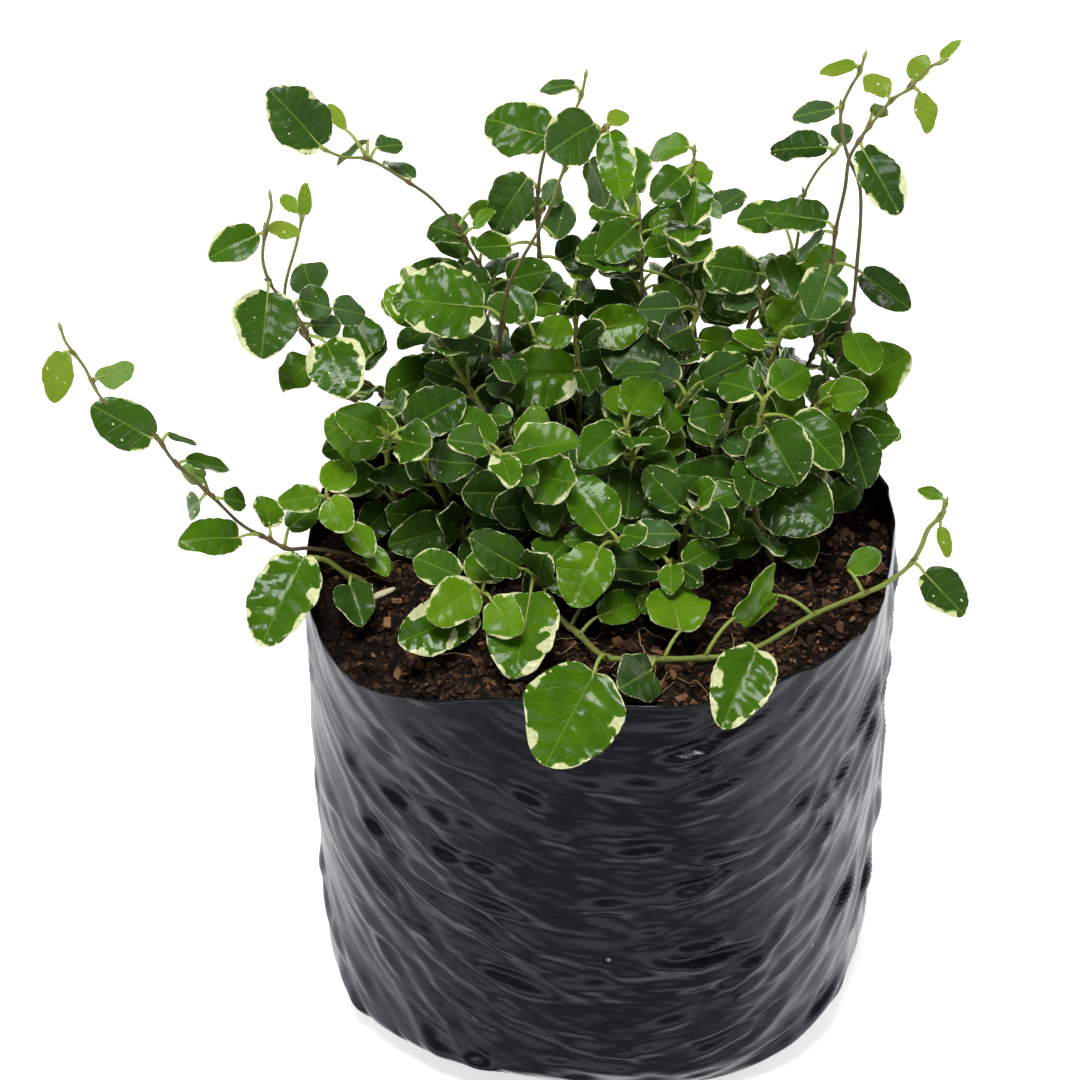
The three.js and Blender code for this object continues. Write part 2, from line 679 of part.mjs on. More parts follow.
/** Three points round a petiole: right, left and under, square to a direction. */
function petioleRing(centre, direction, leaf) {
  const side = leaf.side.clone().addScaledVector(direction, -leaf.side.dot(direction)).normalize();
  const up = new THREE.Vector3().crossVectors(direction, side);
  const place = (across, height) => centre.clone()
    .addScaledVector(side, across * LEAF.petioleRadius)
    .addScaledVector(up, height * LEAF.petioleRadius);
  return [place(-1, 0.5), place(1, 0.5), place(0, -1)];
}

/** A blade with its petiole, as one closed geometry. Both faces are split into triangles alike. */
function leafGeometry(leaf) {
  const toBase = leaf.base.clone().sub(leaf.foot).normalize();
  const points = [
    ...petioleRing(leaf.foot, toBase, leaf),
    ...petioleRing(leaf.base, toBase.clone().add(leaf.along).normalize(), leaf),
  ];
  const index = [0, 1, 2];
  const face = (a, b, c) => index.push(a, b, c);
  const quad = (a, b, c, d) => index.push(a, b, c, a, c, d);
  const turnedQuad = (a, b, c, d) => index.push(a, b, d, b, c, d);
  quad(0, 3, 4, 1);
  quad(1, 4, 5, 2);
  quad(2, 5, 3, 0);
  const half = leaf.up.clone().multiplyScalar(LEAF.thickness / 2);
  const stations = leaf.length < LEAF.longFrom ? LEAF.shortStations : LEAF.longStations;
  const rows = stations.map((s) => {
    const first = points.length;
    for (const sign of [1, -1])
      for (const q of [-1, 0, 1]) points.push(leafPoint(leaf, s, q).addScaledVector(half, sign));
    return Array.from({ length: 6 }, (_, i) => first + i);
  });
  // A row holds the upper right, middle and left points, then the lower ones.
  const [R, M, L, r, m, l] = rows[0];
  face(3, R, M);
  face(3, M, 4);
  face(4, M, L);
  face(4, L, l);
  face(4, l, m);
  face(4, m, 5);
  face(5, m, r);
  face(5, r, 3);
  face(3, r, R);
  for (let i = 0; i + 1 < rows.length; i++) {
    const [R0, M0, L0, r0, m0, l0] = rows[i];
    const [R1, M1, L1, r1, m1, l1] = rows[i + 1];
    quad(R0, R1, M1, M0);
    quad(M0, M1, L1, L0);
    quad(L0, L1, l1, l0);
    turnedQuad(l0, l1, m1, m0);
    turnedQuad(m0, m1, r1, r0);
    quad(r0, r1, R1, R0);
  }
  const tip = points.length;
  points.push(leafPoint(leaf, 1, 0));
  const [Rn, Mn, Ln, rn, mn, ln] = rows[rows.length - 1];
  face(Rn, tip, Mn);
  face(Mn, tip, Ln);
  face(Ln, tip, ln);
  face(ln, tip, mn);
  face(mn, tip, rn);
  face(rn, tip, Rn);
  return geometryOf(points, index);
}

/** Points of a leaf's surface and of its petiole, for the clearance test. */
function leafSamples(leaf) {
  const blade = SAMPLES.along.flatMap((s) => SAMPLES.across.map((q) => leafPoint(leaf, s, q)));
  const petiole = SAMPLES.petiole.map((share) => leaf.foot.clone().lerp(leaf.base, share));
  return { blade, petiole };
}

/** Signed height of a point over a leaf's surface, or null where it isn't over the leaf. */
function heightOver(leaf, point, reach) {
  const offset = point.clone().sub(leaf.base);
  const s = offset.dot(leaf.along) / leaf.length;
  const across = offset.dot(leaf.side);
  const endReach = reach / leaf.length;
  if (s < -endReach || s > 1 + endReach) return null;
  const inside = Math.min(Math.max(s, CLEAR.ends[0]), CLEAR.ends[1]);
  const half = halfWidth(leaf, inside);
  if (Math.abs(across) > half + reach) return null;
  const q = Math.min(Math.max(across / half, -1), 1);
  return offset.dot(leaf.up) - leafHeight(leaf, inside, q);
}

/** Whether points of one leaf's surface come too near to another leaf or lie on both sides of it. */
function crosses(leaf, points, clearance) {
  let above = false;
  let below = false;
  for (const point of points) {
    const height = heightOver(leaf, point, CLEAR.margin);
    if (height === null) continue;
    if (Math.abs(height) < clearance) return true;
    if (height > 0) above = true;
    else below = true;
  }
  return above && below;
}

function touchesStem(leaf, samples, clearance) {
  return samples.some(({ point, radius }) => {
    const height = heightOver(leaf, point, radius + CLEAR.margin);
    return height !== null && Math.abs(height) < radius + clearance;
  });
}

function petioleMeetsStem(leaf, samples) {
  return samples.some(({ point, radius }) => {
    const least = radius + LEAF.petioleRadius + CLEAR.petiole;
    return leaf.samples.petiole.some((place) => place.distanceTo(point) < least);
  });
}

/** Whether two leaves are too far apart to need a test. */
function farApart(a, b) {
  const middleA = a.base.clone().addScaledVector(a.along, a.length / 2);
  const middleB = b.base.clone().addScaledVector(b.along, b.length / 2);
  const sizes = Math.max(a.length, a.width) + Math.max(b.length, b.width);
  return middleA.distanceTo(middleB) > sizes * CLEAR.nearShare + CLEAR.nearExtra;
}

function leavesCross(a, b, clearance) {
  if (farApart(a, b)) return false;
  const petiole = (leaf) => leaf.samples.petiole.map((point) => ({ point, radius: LEAF.petioleRadius }));
  const nearer = clearance - CLEAR.petioleLess;
  return crosses(a, b.samples.blade, clearance) || crosses(b, a.samples.blade, clearance)
    || touchesStem(a, petiole(b), nearer) || touchesStem(b, petiole(a), nearer);
}

/** Whether a leaf comes too near to the soil or to the bag's wall. */
function meetsPot(leaf) {
  return leaf.samples.blade.some(({ x, y, z }) => {
    const theta = Math.atan2(y, x);
    const radius = Math.hypot(x, y);
    const outer = bagRadius(theta, z);
    if (radius < outer && z < soilHeight(x, y) + CLEAR.ground) return true;
    const besideWall = radius > outer - BAG.wall - CLEAR.wall && radius < outer + CLEAR.wall;
    return besideWall && z < rimHeight(theta) + CLEAR.wall;
  });
}

/** A leaf turned about the foot of its petiole. */
function turnedLeaf(spec, [yaw, pitch, size], seed) {
  const level = new THREE.Vector3().crossVectors(spec.tip.clone().sub(spec.base), UP).normalize();
  const turn = (point) => point.clone().sub(spec.foot)
    .applyAxisAngle(level, pitch * DEGREE)
    .applyAxisAngle(UP, yaw * DEGREE)
    .add(spec.foot);
  const base = turn(spec.base);
  const tip = base.clone().add(turn(spec.tip).sub(base).multiplyScalar(size));
  return makeLeaf(spec.foot, base, tip, spec.width * size, spec.roll, seed);
}

/** The first turn of a leaf that clears everything placed so far, or null. */
function clearLeaf(spec, shoot, shoots, seed) {
  for (const turn of TURNS) {
    const leaf = turnedLeaf(spec, turn, seed);
    leaf.samples = leafSamples(leaf);
    const blocked = meetsPot(leaf) || shoots.some((other) => {
      if (other !== shoot && touchesStem(leaf, other.samples, CLEAR.stem)) return true;
      if (other !== shoot && petioleMeetsStem(leaf, other.samples)) return true;
      const clearance = other === shoot ? CLEAR.ownLeaf : CLEAR.leaf;
      return other.leaves.some((placed) => leavesCross(leaf, placed, clearance));
    });
    if (!blocked) return leaf;
  }
  return null;
}

/** Leaf wishes of a shoot that was placed by hand. */
function handSpecs(shoot) {
  return shoot.source.leaves.map(([place, base, tip, width, roll = 0]) => ({
    foot: stemPoint(shoot.corners, place), base: vector(base), tip: vector(tip), width, roll,
  }));
}

/** Path of one bush shoot, leaning out from the crown. */
function bushPath([x, y], draw) {
  const straight = Math.atan2(y - BUSH.centre[1], x - BUSH.centre[0]);
  const outward = straight + (draw() - 0.5) * BUSH.turnScatter;
  const lean = between(BUSH.lean, draw());
  const height = between(BUSH.height, draw()) + BUSH.backExtra * (y - BUSH.centre[1]);
  const ground = soilHeight(x, y);
  const point = (rise) => [
    x + lean * rise * rise * Math.cos(outward),
    y + lean * rise * rise * Math.sin(outward),
    ground + height * rise,
  ];
  return { outward, height, path: [[x, y, ground], ...BUSH.rises.map(point)] };
}

/** Smallest distance between a new stem's samples and all stems placed so far. */
function stemDistance(samples, shoots) {
  let least = Infinity;
  for (const shoot of shoots)
    for (const a of shoot.samples)
      for (const b of samples) least = Math.min(least, a.point.distanceTo(b.point));
  return least;
}

/** Bush shoots, added where they clear the stems that are there. */
function addBush(shoots) {
  const draw = random(BUSH.seed);
  const golden = Math.PI * (3 - Math.sqrt(5));
  for (let i = 0; i < BUSH.shoots; i++) {
    const spread = Math.sqrt((i + 0.5) / BUSH.shoots);
    const x = BUSH.centre[0] + BUSH.reach[0] * spread * Math.cos(golden * i);
    const y = BUSH.centre[1] + BUSH.reach[1] * spread * Math.sin(golden * i);
    for (let attempt = 0; attempt < BUSH.attempts; attempt++) {
      const shift = BUSH.attemptShift * attempt;
      const angle = TURN * draw();
      const root = [x + shift * Math.cos(angle), y + shift * Math.sin(angle)];
      const { path, outward, height } = bushPath(root, draw);
      const corners = rooted(path);
      const samples = stemSamples(corners);
      if (stemDistance(samples, shoots) < BUSH.closest) continue;
      const name = "bush_" + String(i + 1).padStart(2, "0");
      const seed = BUSH.leafSeed + SHOOT_SEED * i;
      shoots.push({ name, path, corners, samples, outward, height, leaves: [], seed });
      break;
    }
  }
}

/** Leaf wishes of a bush shoot: alternate on both sides of the stem, rising towards its tip. */
function bushSpecs(shoot) {
  const draw = random(shoot.seed);
  const last = shoot.path.length - 1;
  const count = Math.round((shoot.height * (1 - BUSH.firstNode)) / BUSH.nodeSpacing);
  return Array.from({ length: count }, (_, i) => {
    const share = (i + 1) / count;
    const place = last * (BUSH.firstNode + (1 - BUSH.firstNode) * share);
    const spread = i + 1 === count ? 0 : (i % 2 ? 1 : -1) * between(BUSH.side, draw()) * DEGREE;
    const azimuth = shoot.outward + spread;
    const pitch = (between(BUSH.pitch, share) + (draw() - 0.5) * BUSH.pitchScatter) * DEGREE;
    const along = vector([
      Math.cos(azimuth) * Math.cos(pitch),
      Math.sin(azimuth) * Math.cos(pitch),
      Math.sin(pitch),
    ]);
    const length = between(BUSH.leafLength, draw()) * (1 - BUSH.tipShorter * share);
    const foot = stemPoint(shoot.corners, place);
    const rise = vector([along.x, along.y, Math.max(along.z, 0) + BUSH.petioleRise]).normalize();
    const base = foot.clone().addScaledVector(rise, between(BUSH.petiole, draw()));
    const tip = base.clone().addScaledVector(along, length);
    const width = length * between(BUSH.widthShare, draw());
    return { foot, base, tip, width, roll: (draw() - 0.5) * BUSH.rollScatter };
  });
}

/** All shoots with their leaves, hand-placed ones first. */
function growPlant() {
  const shoots = SHOOTS.map((source, i) => {
    const corners = rooted(source.path);
    const samples = stemSamples(corners);
    const seed = SHOOT_SEED * i;
    return { name: source.name, source, path: source.path, corners, samples, leaves: [], seed };
  });
  addBush(shoots);
  for (const shoot of shoots) {
    const specs = shoot.source ? handSpecs(shoot) : bushSpecs(shoot);
    specs.forEach((spec, i) => {
      const leaf = clearLeaf(spec, shoot, shoots, shoot.seed + i + 1);
      if (leaf) shoot.leaves.push(leaf);
    });
  }
  return shoots;
}

/** The plain hole in which a stem stands. */
function stemHole([x, y, z]) {
  const sides = 5;
  const radius = (STEM.rootRadius + TOUCH_GAP) / Math.cos(Math.PI / sides);
  const depth = STEM.rootDepth + TOUCH_GAP;
  const above = 6;
  const hole = new THREE.CylinderGeometry(radius, radius, depth + above, sides);
  hole.rotateX(Math.PI / 2);
  hole.translate(x, y, z - depth + (depth + above) / 2);
  return solidOf(hole);
}

const shoots = growPlant();
const root = new THREE.Group();

function addMesh(name, geometry, material) {
  const mesh = new THREE.Mesh(geometry, material);
  mesh.name = name;
  root.add(mesh);
}

const film = new THREE.MeshStandardMaterial({ color: 0x17181b, roughness: 0.38, metalness: 0 });
const earth = new THREE.MeshStandardMaterial({ color: 0x2a1a12, roughness: 0.95, metalness: 0 });
const foliage = new THREE.MeshStandardMaterial({ color: 0x2f6b1c, roughness: 0.35, metalness: 0 });

addMesh("bag", bagGeometry(), film);

let soil = solidOf(soilGeometry());
for (const { path } of shoots) soil = soil.subtract(stemHole(path[0]));
addMesh("soil", geometryFrom(soil), earth);

for (const shoot of shoots) {
  const stem = solidOf(stemGeometry(shoot.corners));
  const leaves = shoot.leaves.map((leaf) => solidOf(leafGeometry(leaf)));
  const leafy = leaves.reduce((whole, leaf) => whole.add(leaf), stem);
  addMesh("shoot_" + shoot.name, geometryFrom(leafy), foliage);
}

export default root;
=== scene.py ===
"""Looks of the potted creeping fig: leafy shoots, soil and a black film nursery bag.

The plant is grown by the same rule as the part's solids, with the same seeded numbers, so that each leaf
lies where its solid does. Sizes of the plant are in millimetres, and meshes are written in metres.
"""

from __future__ import annotations

import logging
import math
from collections.abc import Callable
from dataclasses import dataclass, field
from enum import Enum
from itertools import product

import bpy
import numpy as np
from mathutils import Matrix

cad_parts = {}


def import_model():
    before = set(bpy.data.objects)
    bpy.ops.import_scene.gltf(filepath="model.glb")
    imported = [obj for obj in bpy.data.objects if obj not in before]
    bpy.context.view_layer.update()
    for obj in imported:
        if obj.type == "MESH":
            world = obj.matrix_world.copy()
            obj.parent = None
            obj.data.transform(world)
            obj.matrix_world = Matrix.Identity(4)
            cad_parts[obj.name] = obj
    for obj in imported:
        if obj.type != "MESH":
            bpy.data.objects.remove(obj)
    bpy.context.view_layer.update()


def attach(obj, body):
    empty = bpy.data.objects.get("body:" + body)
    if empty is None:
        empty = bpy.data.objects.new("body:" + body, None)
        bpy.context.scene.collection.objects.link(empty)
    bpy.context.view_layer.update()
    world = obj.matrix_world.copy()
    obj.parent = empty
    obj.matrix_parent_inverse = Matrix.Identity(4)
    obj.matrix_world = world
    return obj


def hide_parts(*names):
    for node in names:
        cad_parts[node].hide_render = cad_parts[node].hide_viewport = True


LOG = logging.getLogger("creeping_fig")
Array = np.ndarray
Spot = tuple[float, float, float]
Span = tuple[float, float]
MM = 0.001
TURN = 2 * math.pi
UP = np.array([0.0, 0.0, 1.0])
WORD = 0xFFFFFFFF


class Look(Enum):
    """How a leaf is coloured. Fields: tone, cream edge (mm), blotches, grey-green painted sheen, dots, gloss.
    """

    YOUNG = ("y", 0.95, 0.35, 0.1, 0.0, 0.5, 0.25)
    LIME = ("l", 0.68, 0.6, 0.25, 0.0, 0.2, 0.55)
    GREEN = ("g", 0.58, 0.2, 0.0, 0.0, 0.1, 0.7)
    PALE = ("p", 0.75, 0.2, 0.0, 0.35, 0.0, 0.3)
    MIDDLE = ("m", 0.5, 0.55, 0.15, 0.0, 0.2, 0.6)
    BROAD = ("b", 0.44, 1.9, 0.2, 0.0, 0.2, 0.85)
    DARK = ("d", 0.16, 0.2, 0.05, 0.1, 0.6, 0.6)
    EDGED = ("e", 0.3, 0.5, 0.12, 0.05, 0.3, 0.55)
    BLOTCHED = ("k", 0.22, 0.7, 0.7, 0.15, 0.6, 0.35)
    # SHADED is a painted shaded leaf: a dim tone under a thick grey-green painted sheen.
    SHADED = ("s", 0.34, 0.4, 0.1, 0.7, 0.3, 0.25)

    def __init__(self, letter: str, tone: float, cream: float, blotch: float, painted_sheen: float, dots: float,
                 gloss: float) -> None:
        """Keep the fields under plain names."""
        self.letter = letter
        self.tone = tone
        self.cream = cream
        self.blotch = blotch
        self.painted_sheen = painted_sheen
        self.dots = dots
        self.gloss = gloss


LOOK_OF = {look.letter: look for look in Look}


@dataclass(frozen=True)
class HandShoot:
    """A listed shoot: name, a look letter for each leaf, path from the soil, and leaves.

    A leaf is: place on the path in waypoints, base of the blade, tip, width, and roll in degrees if any.
    """

    name: str
    looks: str
    path: tuple
    leaves: tuple


SHOOTS: tuple[HandShoot, ...] = (
    HandShoot("left_runner", "ygdsepeembe", (
        (-62, -6, 131), (-68, -10, 136), (-75, -13, 140), (-82, -16, 143), (-87, -18, 144), (-92, -18, 147),
        (-99, -20, 153), (-106, -22, 163), (-115, -23, 174), (-119, -24, 182), (-126, -24, 188),
        (-132, -24, 193), (-136, -23, 202), (-140, -22, 208), (-141, -22, 212),
    ), (
        (12.5, (-141, -23, 206), (-143, -32, 197), 8), (11.5, (-133, -22, 198), (-125, -16, 197), 8, 150),
        (9, (-120, -25, 182), (-133, -28, 193), 13.5), (8.7, (-116, -22, 182), (-109, -22, 178), 3, 60),
        (7.9, (-112, -21, 173), (-101, -18, 169), 7, -40),
        (7.1, (-108, -20, 167), (-114, -14, 167), 6, 150), (7.1, (-109, -23, 162), (-114, -19, 156), 8),
        (6.9, (-103, -22, 162), (-97, -17, 158), 7), (5.3, (-100, -21, 150), (-115, -27, 155), 11),
        (4.9, (-92, -15, 149), (-94, -5, 154), 9, 30), (4.2, (-88, -14, 148), (-83, -5, 151), 8),
    )),
    HandShoot("left_low", "bd", (
        (-66, -19, 131), (-71, -20, 137), (-76, -21, 142), (-79, -23, 144),
    ), (
        (3, (-82, -24, 145), (-93, -44, 131), 18), (0.8, (-70, -25, 137), (-66, -37, 134), 11),
    )),
    HandShoot("left_rim", "lllyll", (
        (-60, -8, 131), (-66, -10, 138), (-71, -12, 145), (-74, -14, 150), (-76, -15, 155), (-76, -16, 159),
    ), (
        (5, (-76, -15, 161), (-70, -6, 164), 10), (4.9, (-75, -17, 159), (-70, -25, 154), 10),
        (4.8, (-78, -16, 159), (-86, -24, 158), 8), (4.6, (-77, -17, 157), (-81, -23, 154), 5),
        (2.7, (-70, -13, 148), (-64, -22, 145), 8), (1.6, (-66, -13, 142), (-60, -21, 138), 6),
    )),
    HandShoot("left_mid", "mykdsbgse", (
        (-31, 52, 131), (-41, 44, 138), (-49, 36, 148), (-57, 28, 158), (-68, 18, 169), (-76, 10, 181),
        (-81, 5, 197), (-85, 2, 208), (-89, 1, 213), (-91, 0, 221), (-90, 0, 229), (-88, 0, 236),
        (-88, 0, 239),
    ), (
        (10, (-92, -1, 229), (-104, -7, 226), 10), (10.1, (-89, 1, 230), (-81, 3, 228), 5),
        (8.3, (-90, -2, 213), (-91, -15, 201), 17), (6.8, (-83, 6, 207), (-74, 10, 203), 10),
        (6.3, (-80, 7, 199), (-72, 12, 197), 8), (6, (-76, 3, 196), (-69, -11, 188), 16),
        (5.5, (-80, 8, 189), (-87, -3, 187), 11), (4.4, (-69, 22, 172), (-76, 30, 170), 12),
        (3.6, (-60, 19, 168), (-58, 8, 174), 12),
    )),
    HandShoot("left_twin", "yysse", (
        (-48, 46, 131), (-51, 46, 142), (-57, 43, 154), (-66, 35, 166), (-75, 26, 177), (-82, 18, 189),
        (-86, 13, 199), (-87, 11, 208), (-83, 9, 222), (-81, 8, 230),
    ), (
        (9, (-82, 9, 231), (-87, 16, 233), 4), (9, (-80, 8, 231), (-79, 9, 239), 4),
        (5.9, (-80, 17, 204), (-84, 28, 209), 11), (5.3, (-75, 18, 199), (-66, 23, 195), 9),
        (3.5, (-66, 36, 176), (-72, 44, 184), 12),
    )),
    HandShoot("top_left", "kysssek", (
        (-22, 60, 131), (-24, 60, 150), (-28, 59, 170), (-32, 59, 184), (-37, 60, 195), (-42, 60, 204),
        (-49, 58, 214), (-57, 56, 221), (-66, 53, 228), (-73, 50, 230), (-78, 48, 233),
    ), (
        (10, (-79, 48, 234), (-92, 50, 250), 16), (8.1, (-73, 56, 236), (-78, 64, 241), 4),
        (8, (-64, 55, 231), (-57, 60, 230), 7), (8.1, (-66, 55, 233), (-75, 60, 226), 5, 70),
        (6.8, (-55, 57, 221), (-62, 69, 224), 8, 40), (4.6, (-40, 61, 201), (-51, 71, 201), 11),
        (3.5, (-33, 54, 190), (-42, 44, 192), 14),
    )),
    HandShoot("centre", "beebyeb", (
        (-27, 48, 131), (-28, 46, 138), (-29, 43, 147), (-31, 38, 161), (-30, 32, 176), (-29, 24, 193),
        (-26, 16, 209), (-18, 8, 228), (-15, 4, 237), (-12, 0, 247), (-6, -2, 253), (-2, -3, 259),
    ), (
        (5, (-34, 25, 196), (-58, 20, 202), 23), (9, (-16, 3, 254), (-33, 10, 258), 16),
        (10.7, (-5, -2, 260), (-16, 1, 251), 14), (10.9, (-1, -4, 258), (-1, -17, 247), 10),
        (10.9, (-1, -2, 260), (5, 1, 261), 5), (9.6, (-6, 0, 249), (0, 3, 235), 10),
        (3.5, (-9, 34, 171), (-30, 24, 173), 18, -25),
    )),
    HandShoot("centre_back", "skssed", (
        (-12, 58, 131), (-13, 60, 150), (-16, 62, 170), (-18, 62, 185), (-19, 62, 203), (-19, 60, 216),
        (-17, 58, 229), (-13, 56, 237), (-9, 54, 242), (-7, 54, 247), (-6, 54, 252),
    ), (
        (8.9, (-9, 55, 249), (-18, 51, 250), 5), (5, (-22, 62, 219), (-34, 61, 202), 14),
        (4.1, (-14, 60, 201), (-11, 72, 208), 9), (4.2, (-17, 66, 209), (-25, 69, 205), 7),
        (3.7, (-27, 60, 199), (-37, 54, 201), 9), (3.5, (-13, 63, 193), (-4, 70, 195), 11),
    )),
    HandShoot("back_mid", "dmebgssed", (
        (16, 56, 131), (20, 60, 148), (27, 64, 162), (27, 66, 172), (24, 68, 181), (21, 68, 190),
        (23, 66, 200), (25, 64, 210), (25, 62, 218), (25, 60, 228),
    ), (
        (4.1, (8, 70, 185), (-2, 81, 197), 18), (9, (23, 60, 229), (11, 68, 225), 9),
        (8.5, (22, 57, 222), (14, 48, 219), 11), (8.1, (26, 59, 219), (25, 49, 211), 10),
        (7.2, (27, 62, 211), (35, 66, 206), 6), (6.1, (32, 67, 205), (44, 76, 209), 9),
        (5.3, (20, 66, 194), (14, 63, 198), 5), (3.6, (33, 70, 189), (37, 52, 177), 21),
        (3.3, (21, 66, 181), (17, 52, 170), 13),
    )),
    HandShoot("right_tall", "yyyyykessdeg", (
        (45, 45, 131), (47, 42, 145), (54, 34, 164), (59, 28, 183), (60, 27, 190), (61, 23, 210),
        (61, 20, 221), (62, 15, 235), (62, 11, 245), (64, 9, 251), (66, 8, 255), (71, 6, 263), (75, 4, 267),
        (79, 2, 273), (82, 1, 275),
    ), (
        (14, (82, 1, 276), (86, 1, 281), 3), (11, (70, 7, 264), (65, 13, 268), 7),
        (12, (76, 5, 269), (79, 7, 275), 6), (12.1, (78, 3, 266), (80, -4, 259), 6),
        (10, (67, 10, 258), (72, 15, 258), 5), (9, (65, 8, 249), (74, -5, 238), 12),
        (6, (59, 22, 223), (44, 31, 225), 11), (5.9, (58, 21, 221), (49, 22, 213), 5, 50),
        (5, (61, 21, 208), (61, 10, 199), 14), (5, (69, 21, 206), (76, 8, 198), 9),
        (3, (58, 26, 184), (56, 11, 178), 15), (4.1, (54, 30, 196), (47, 33, 184), 13),
    )),
    HandShoot("right_slim", "ysmg", (
        (52, 28, 131), (56, 23, 160), (66, 21, 190), (67, 17, 215), (66, 14, 235), (62, 13, 245),
        (60, 15, 252), (60, 17, 257), (62, 18, 262), (64, 18, 266), (65, 18, 270),
    ), (
        (9.1, (63, 19, 268), (54, 14, 268), 4), (7, (58, 16, 257), (47, 19, 254), 6),
        (1.6, (68, 20, 172), (82, 16, 186), 18), (1.4, (72, 18, 166), (82, 12, 162), 7),
    )),
    HandShoot("right_second", "dskesege", (
        (27, 20, 131), (30, 26, 138), (37, 33, 148), (40, 40, 160), (41, 44, 169), (41, 44, 180),
        (44, 42, 190), (48, 41, 197), (52, 38, 204), (53, 34, 218), (53, 31, 226), (56, 28, 235),
        (60, 26, 241),
    ), (
        (12, (58, 27, 242), (43, 33, 240), 10), (12, (61, 28, 243), (56, 36, 245), 7),
        (10.1, (51, 27, 221), (40, 16, 215), 11), (8, (47, 38, 205), (51, 27, 198), 9),
        (8.1, (50, 42, 212), (46, 51, 214), 9), (6, (39, 45, 195), (28, 54, 196), 13),
        (4.5, (47, 48, 178), (56, 58, 180), 14), (2.5, (40, 30, 158), (46, 18, 160), 14),
    )),
    HandShoot("right_mid", "dgd", (
        (57, 6, 131), (60, 12, 142), (63, 16, 154), (67, 17, 165), (69, 15, 172),
    ), (
        (3.6, (67, 10, 166), (72, 0, 153), 14), (4, (65, 13, 171), (58, 6, 168), 9),
        (2, (61, 20, 154), (56, 28, 150), 14),
    )),
    HandShoot("right_runner", "bbgdgggkymgd", (
        (-14, -36, 131), (-11, -41, 134), (-8, -47, 135), (-4, -56, 136), (0, -61, 137), (10, -60, 136),
        (22, -58, 135), (32, -55, 134), (40, -50, 134), (54, -39, 136), (68, -33, 139), (74, -31, 141),
        (80, -29, 145), (83, -28, 150), (85, -26, 155), (88, -26, 159), (89, -26, 163),
    ), (
        (3.8, (-5, -79, 145), (-17, -96, 129), 24), (7.1, (36, -72, 147), (27, -90, 138), 16),
        (5.3, (18, -54, 141), (16, -38, 146), 17), (5.1, (10, -65, 136), (2, -77, 139), 13),
        (6.2, (32, -51, 143), (45, -37, 150), 9, 60), (9, (44, -35, 140), (35, -45, 138), 7, 40),
        (10, (64, -29, 144), (74, -21, 145), 7, 20), (12.3, (84, -32, 145), (94, -41, 138), 11),
        (15, (88, -27, 156), (90, -33, 151), 4), (16, (88, -25, 164), (82, -21, 165), 4),
        (2, (-3, -44, 139), (10, -35, 139), 9), (1.2, (-4, -38, 141), (-12, -24, 145), 14),
    )),
    HandShoot("front_left", "lglbm", (
        (-31, -31, 131), (-31, -34, 136), (-33, -38, 141), (-34, -41, 144),
    ), (
        (3, (-36, -41, 146), (-47, -52, 143), 13), (2.8, (-33, -38, 146), (-33, -24, 150), 12),
        (2.6, (-31, -49, 147), (-24, -59, 143), 11), (2, (-36, -42, 139), (-55, -53, 137), 15),
        (3, (-40, -37, 147), (-52, -29, 148), 10),
    )),
    HandShoot("front_mid", "bmd", (
        (-16, -24, 131), (-17, -27, 137), (-19, -31, 142), (-20, -34, 145),
    ), (
        (3, (-21, -42, 145), (-25, -67, 136), 18), (3, (-17, -32, 148), (-9, -18, 150), 14),
        (1.6, (-9, -29, 138), (11, -19, 137), 11),
    )),
    HandShoot("soil_pair", "ee", (
        (-40, 3, 131), (-40, 2, 136), (-40, 1, 139),
    ), (
        (2, (-42, 0, 140), (-60, -7, 139), 13), (1.6, (-37, 2, 140), (-20, 7, 137), 11),
    )),
    HandShoot("right_front", "dgddeegd", (
        (46, -6, 131), (43, -4, 140), (41, -2, 150), (41, -1, 160), (41, 0, 171), (42, 1, 179),
    ), (
        (1, (42, -8, 142), (25, -14, 143), 13), (2, (39, 1, 150), (32, 12, 153), 12),
        (2.6, (45, -4, 156), (59, -18, 151), 20), (4, (43, -3, 173), (50, -17, 165), 19),
        (4.4, (50, -1, 174), (60, -15, 168), 14), (5, (40, 3, 181), (30, 10, 182), 12),
        (5, (45, 3, 182), (55, 12, 184), 12), (1.2, (49, -6, 142), (56, -18, 139), 11),
    )),
    HandShoot("middle", "gegegd", (
        (10, 14, 131), (10, 10, 139), (9, 6, 149), (7, 2, 161), (5, 0, 171),
    ), (
        (2, (13, 3, 148), (23, -5, 147), 11), (2.9, (5, -1, 159), (-1, -14, 153), 14),
        (3, (10, 5, 164), (23, 13, 163), 13), (4, (3, -2, 172), (-7, -14, 170), 12),
        (4, (6, 2, 175), (13, 14, 180), 13), (1.7, (6, 3, 144), (0, -11, 140), 12),
    )),
    HandShoot("middle_front", "ldb", (
        (-5, -9, 131), (-4, -11, 139), (-2, -13, 147), (-1, -15, 152),
    ), (
        (3, (1, -16, 155), (9, -27, 152), 11), (2, (-1, -15, 144), (6, -28, 140), 11),
        (2.7, (-4, -14, 153), (-14, -8, 156), 11),
    )),
    HandShoot("front_right", "ggm", (
        (14, -28, 131), (15, -30, 137), (16, -32, 144), (16, -33, 148),
    ), (
        (3, (16, -35, 149), (16, -44, 146), 7), (2.9, (14, -31, 150), (8, -22, 153), 9),
        (2.4, (20, -32, 148), (29, -25, 149), 9),
    )),
    HandShoot("left_bush", "segs", (
        (-57, 9, 131), (-59, 11, 141), (-61, 13, 152), (-62, 15, 163),
    ), (
        (3, (-61, 14, 166), (-59, 26, 176), 7), (2, (-65, 11, 152), (-74, 2, 152), 10),
        (2.4, (-57, 11, 158), (-46, 1, 157), 13), (3, (-64, 17, 165), (-75, 21, 165), 10),
    )),
)


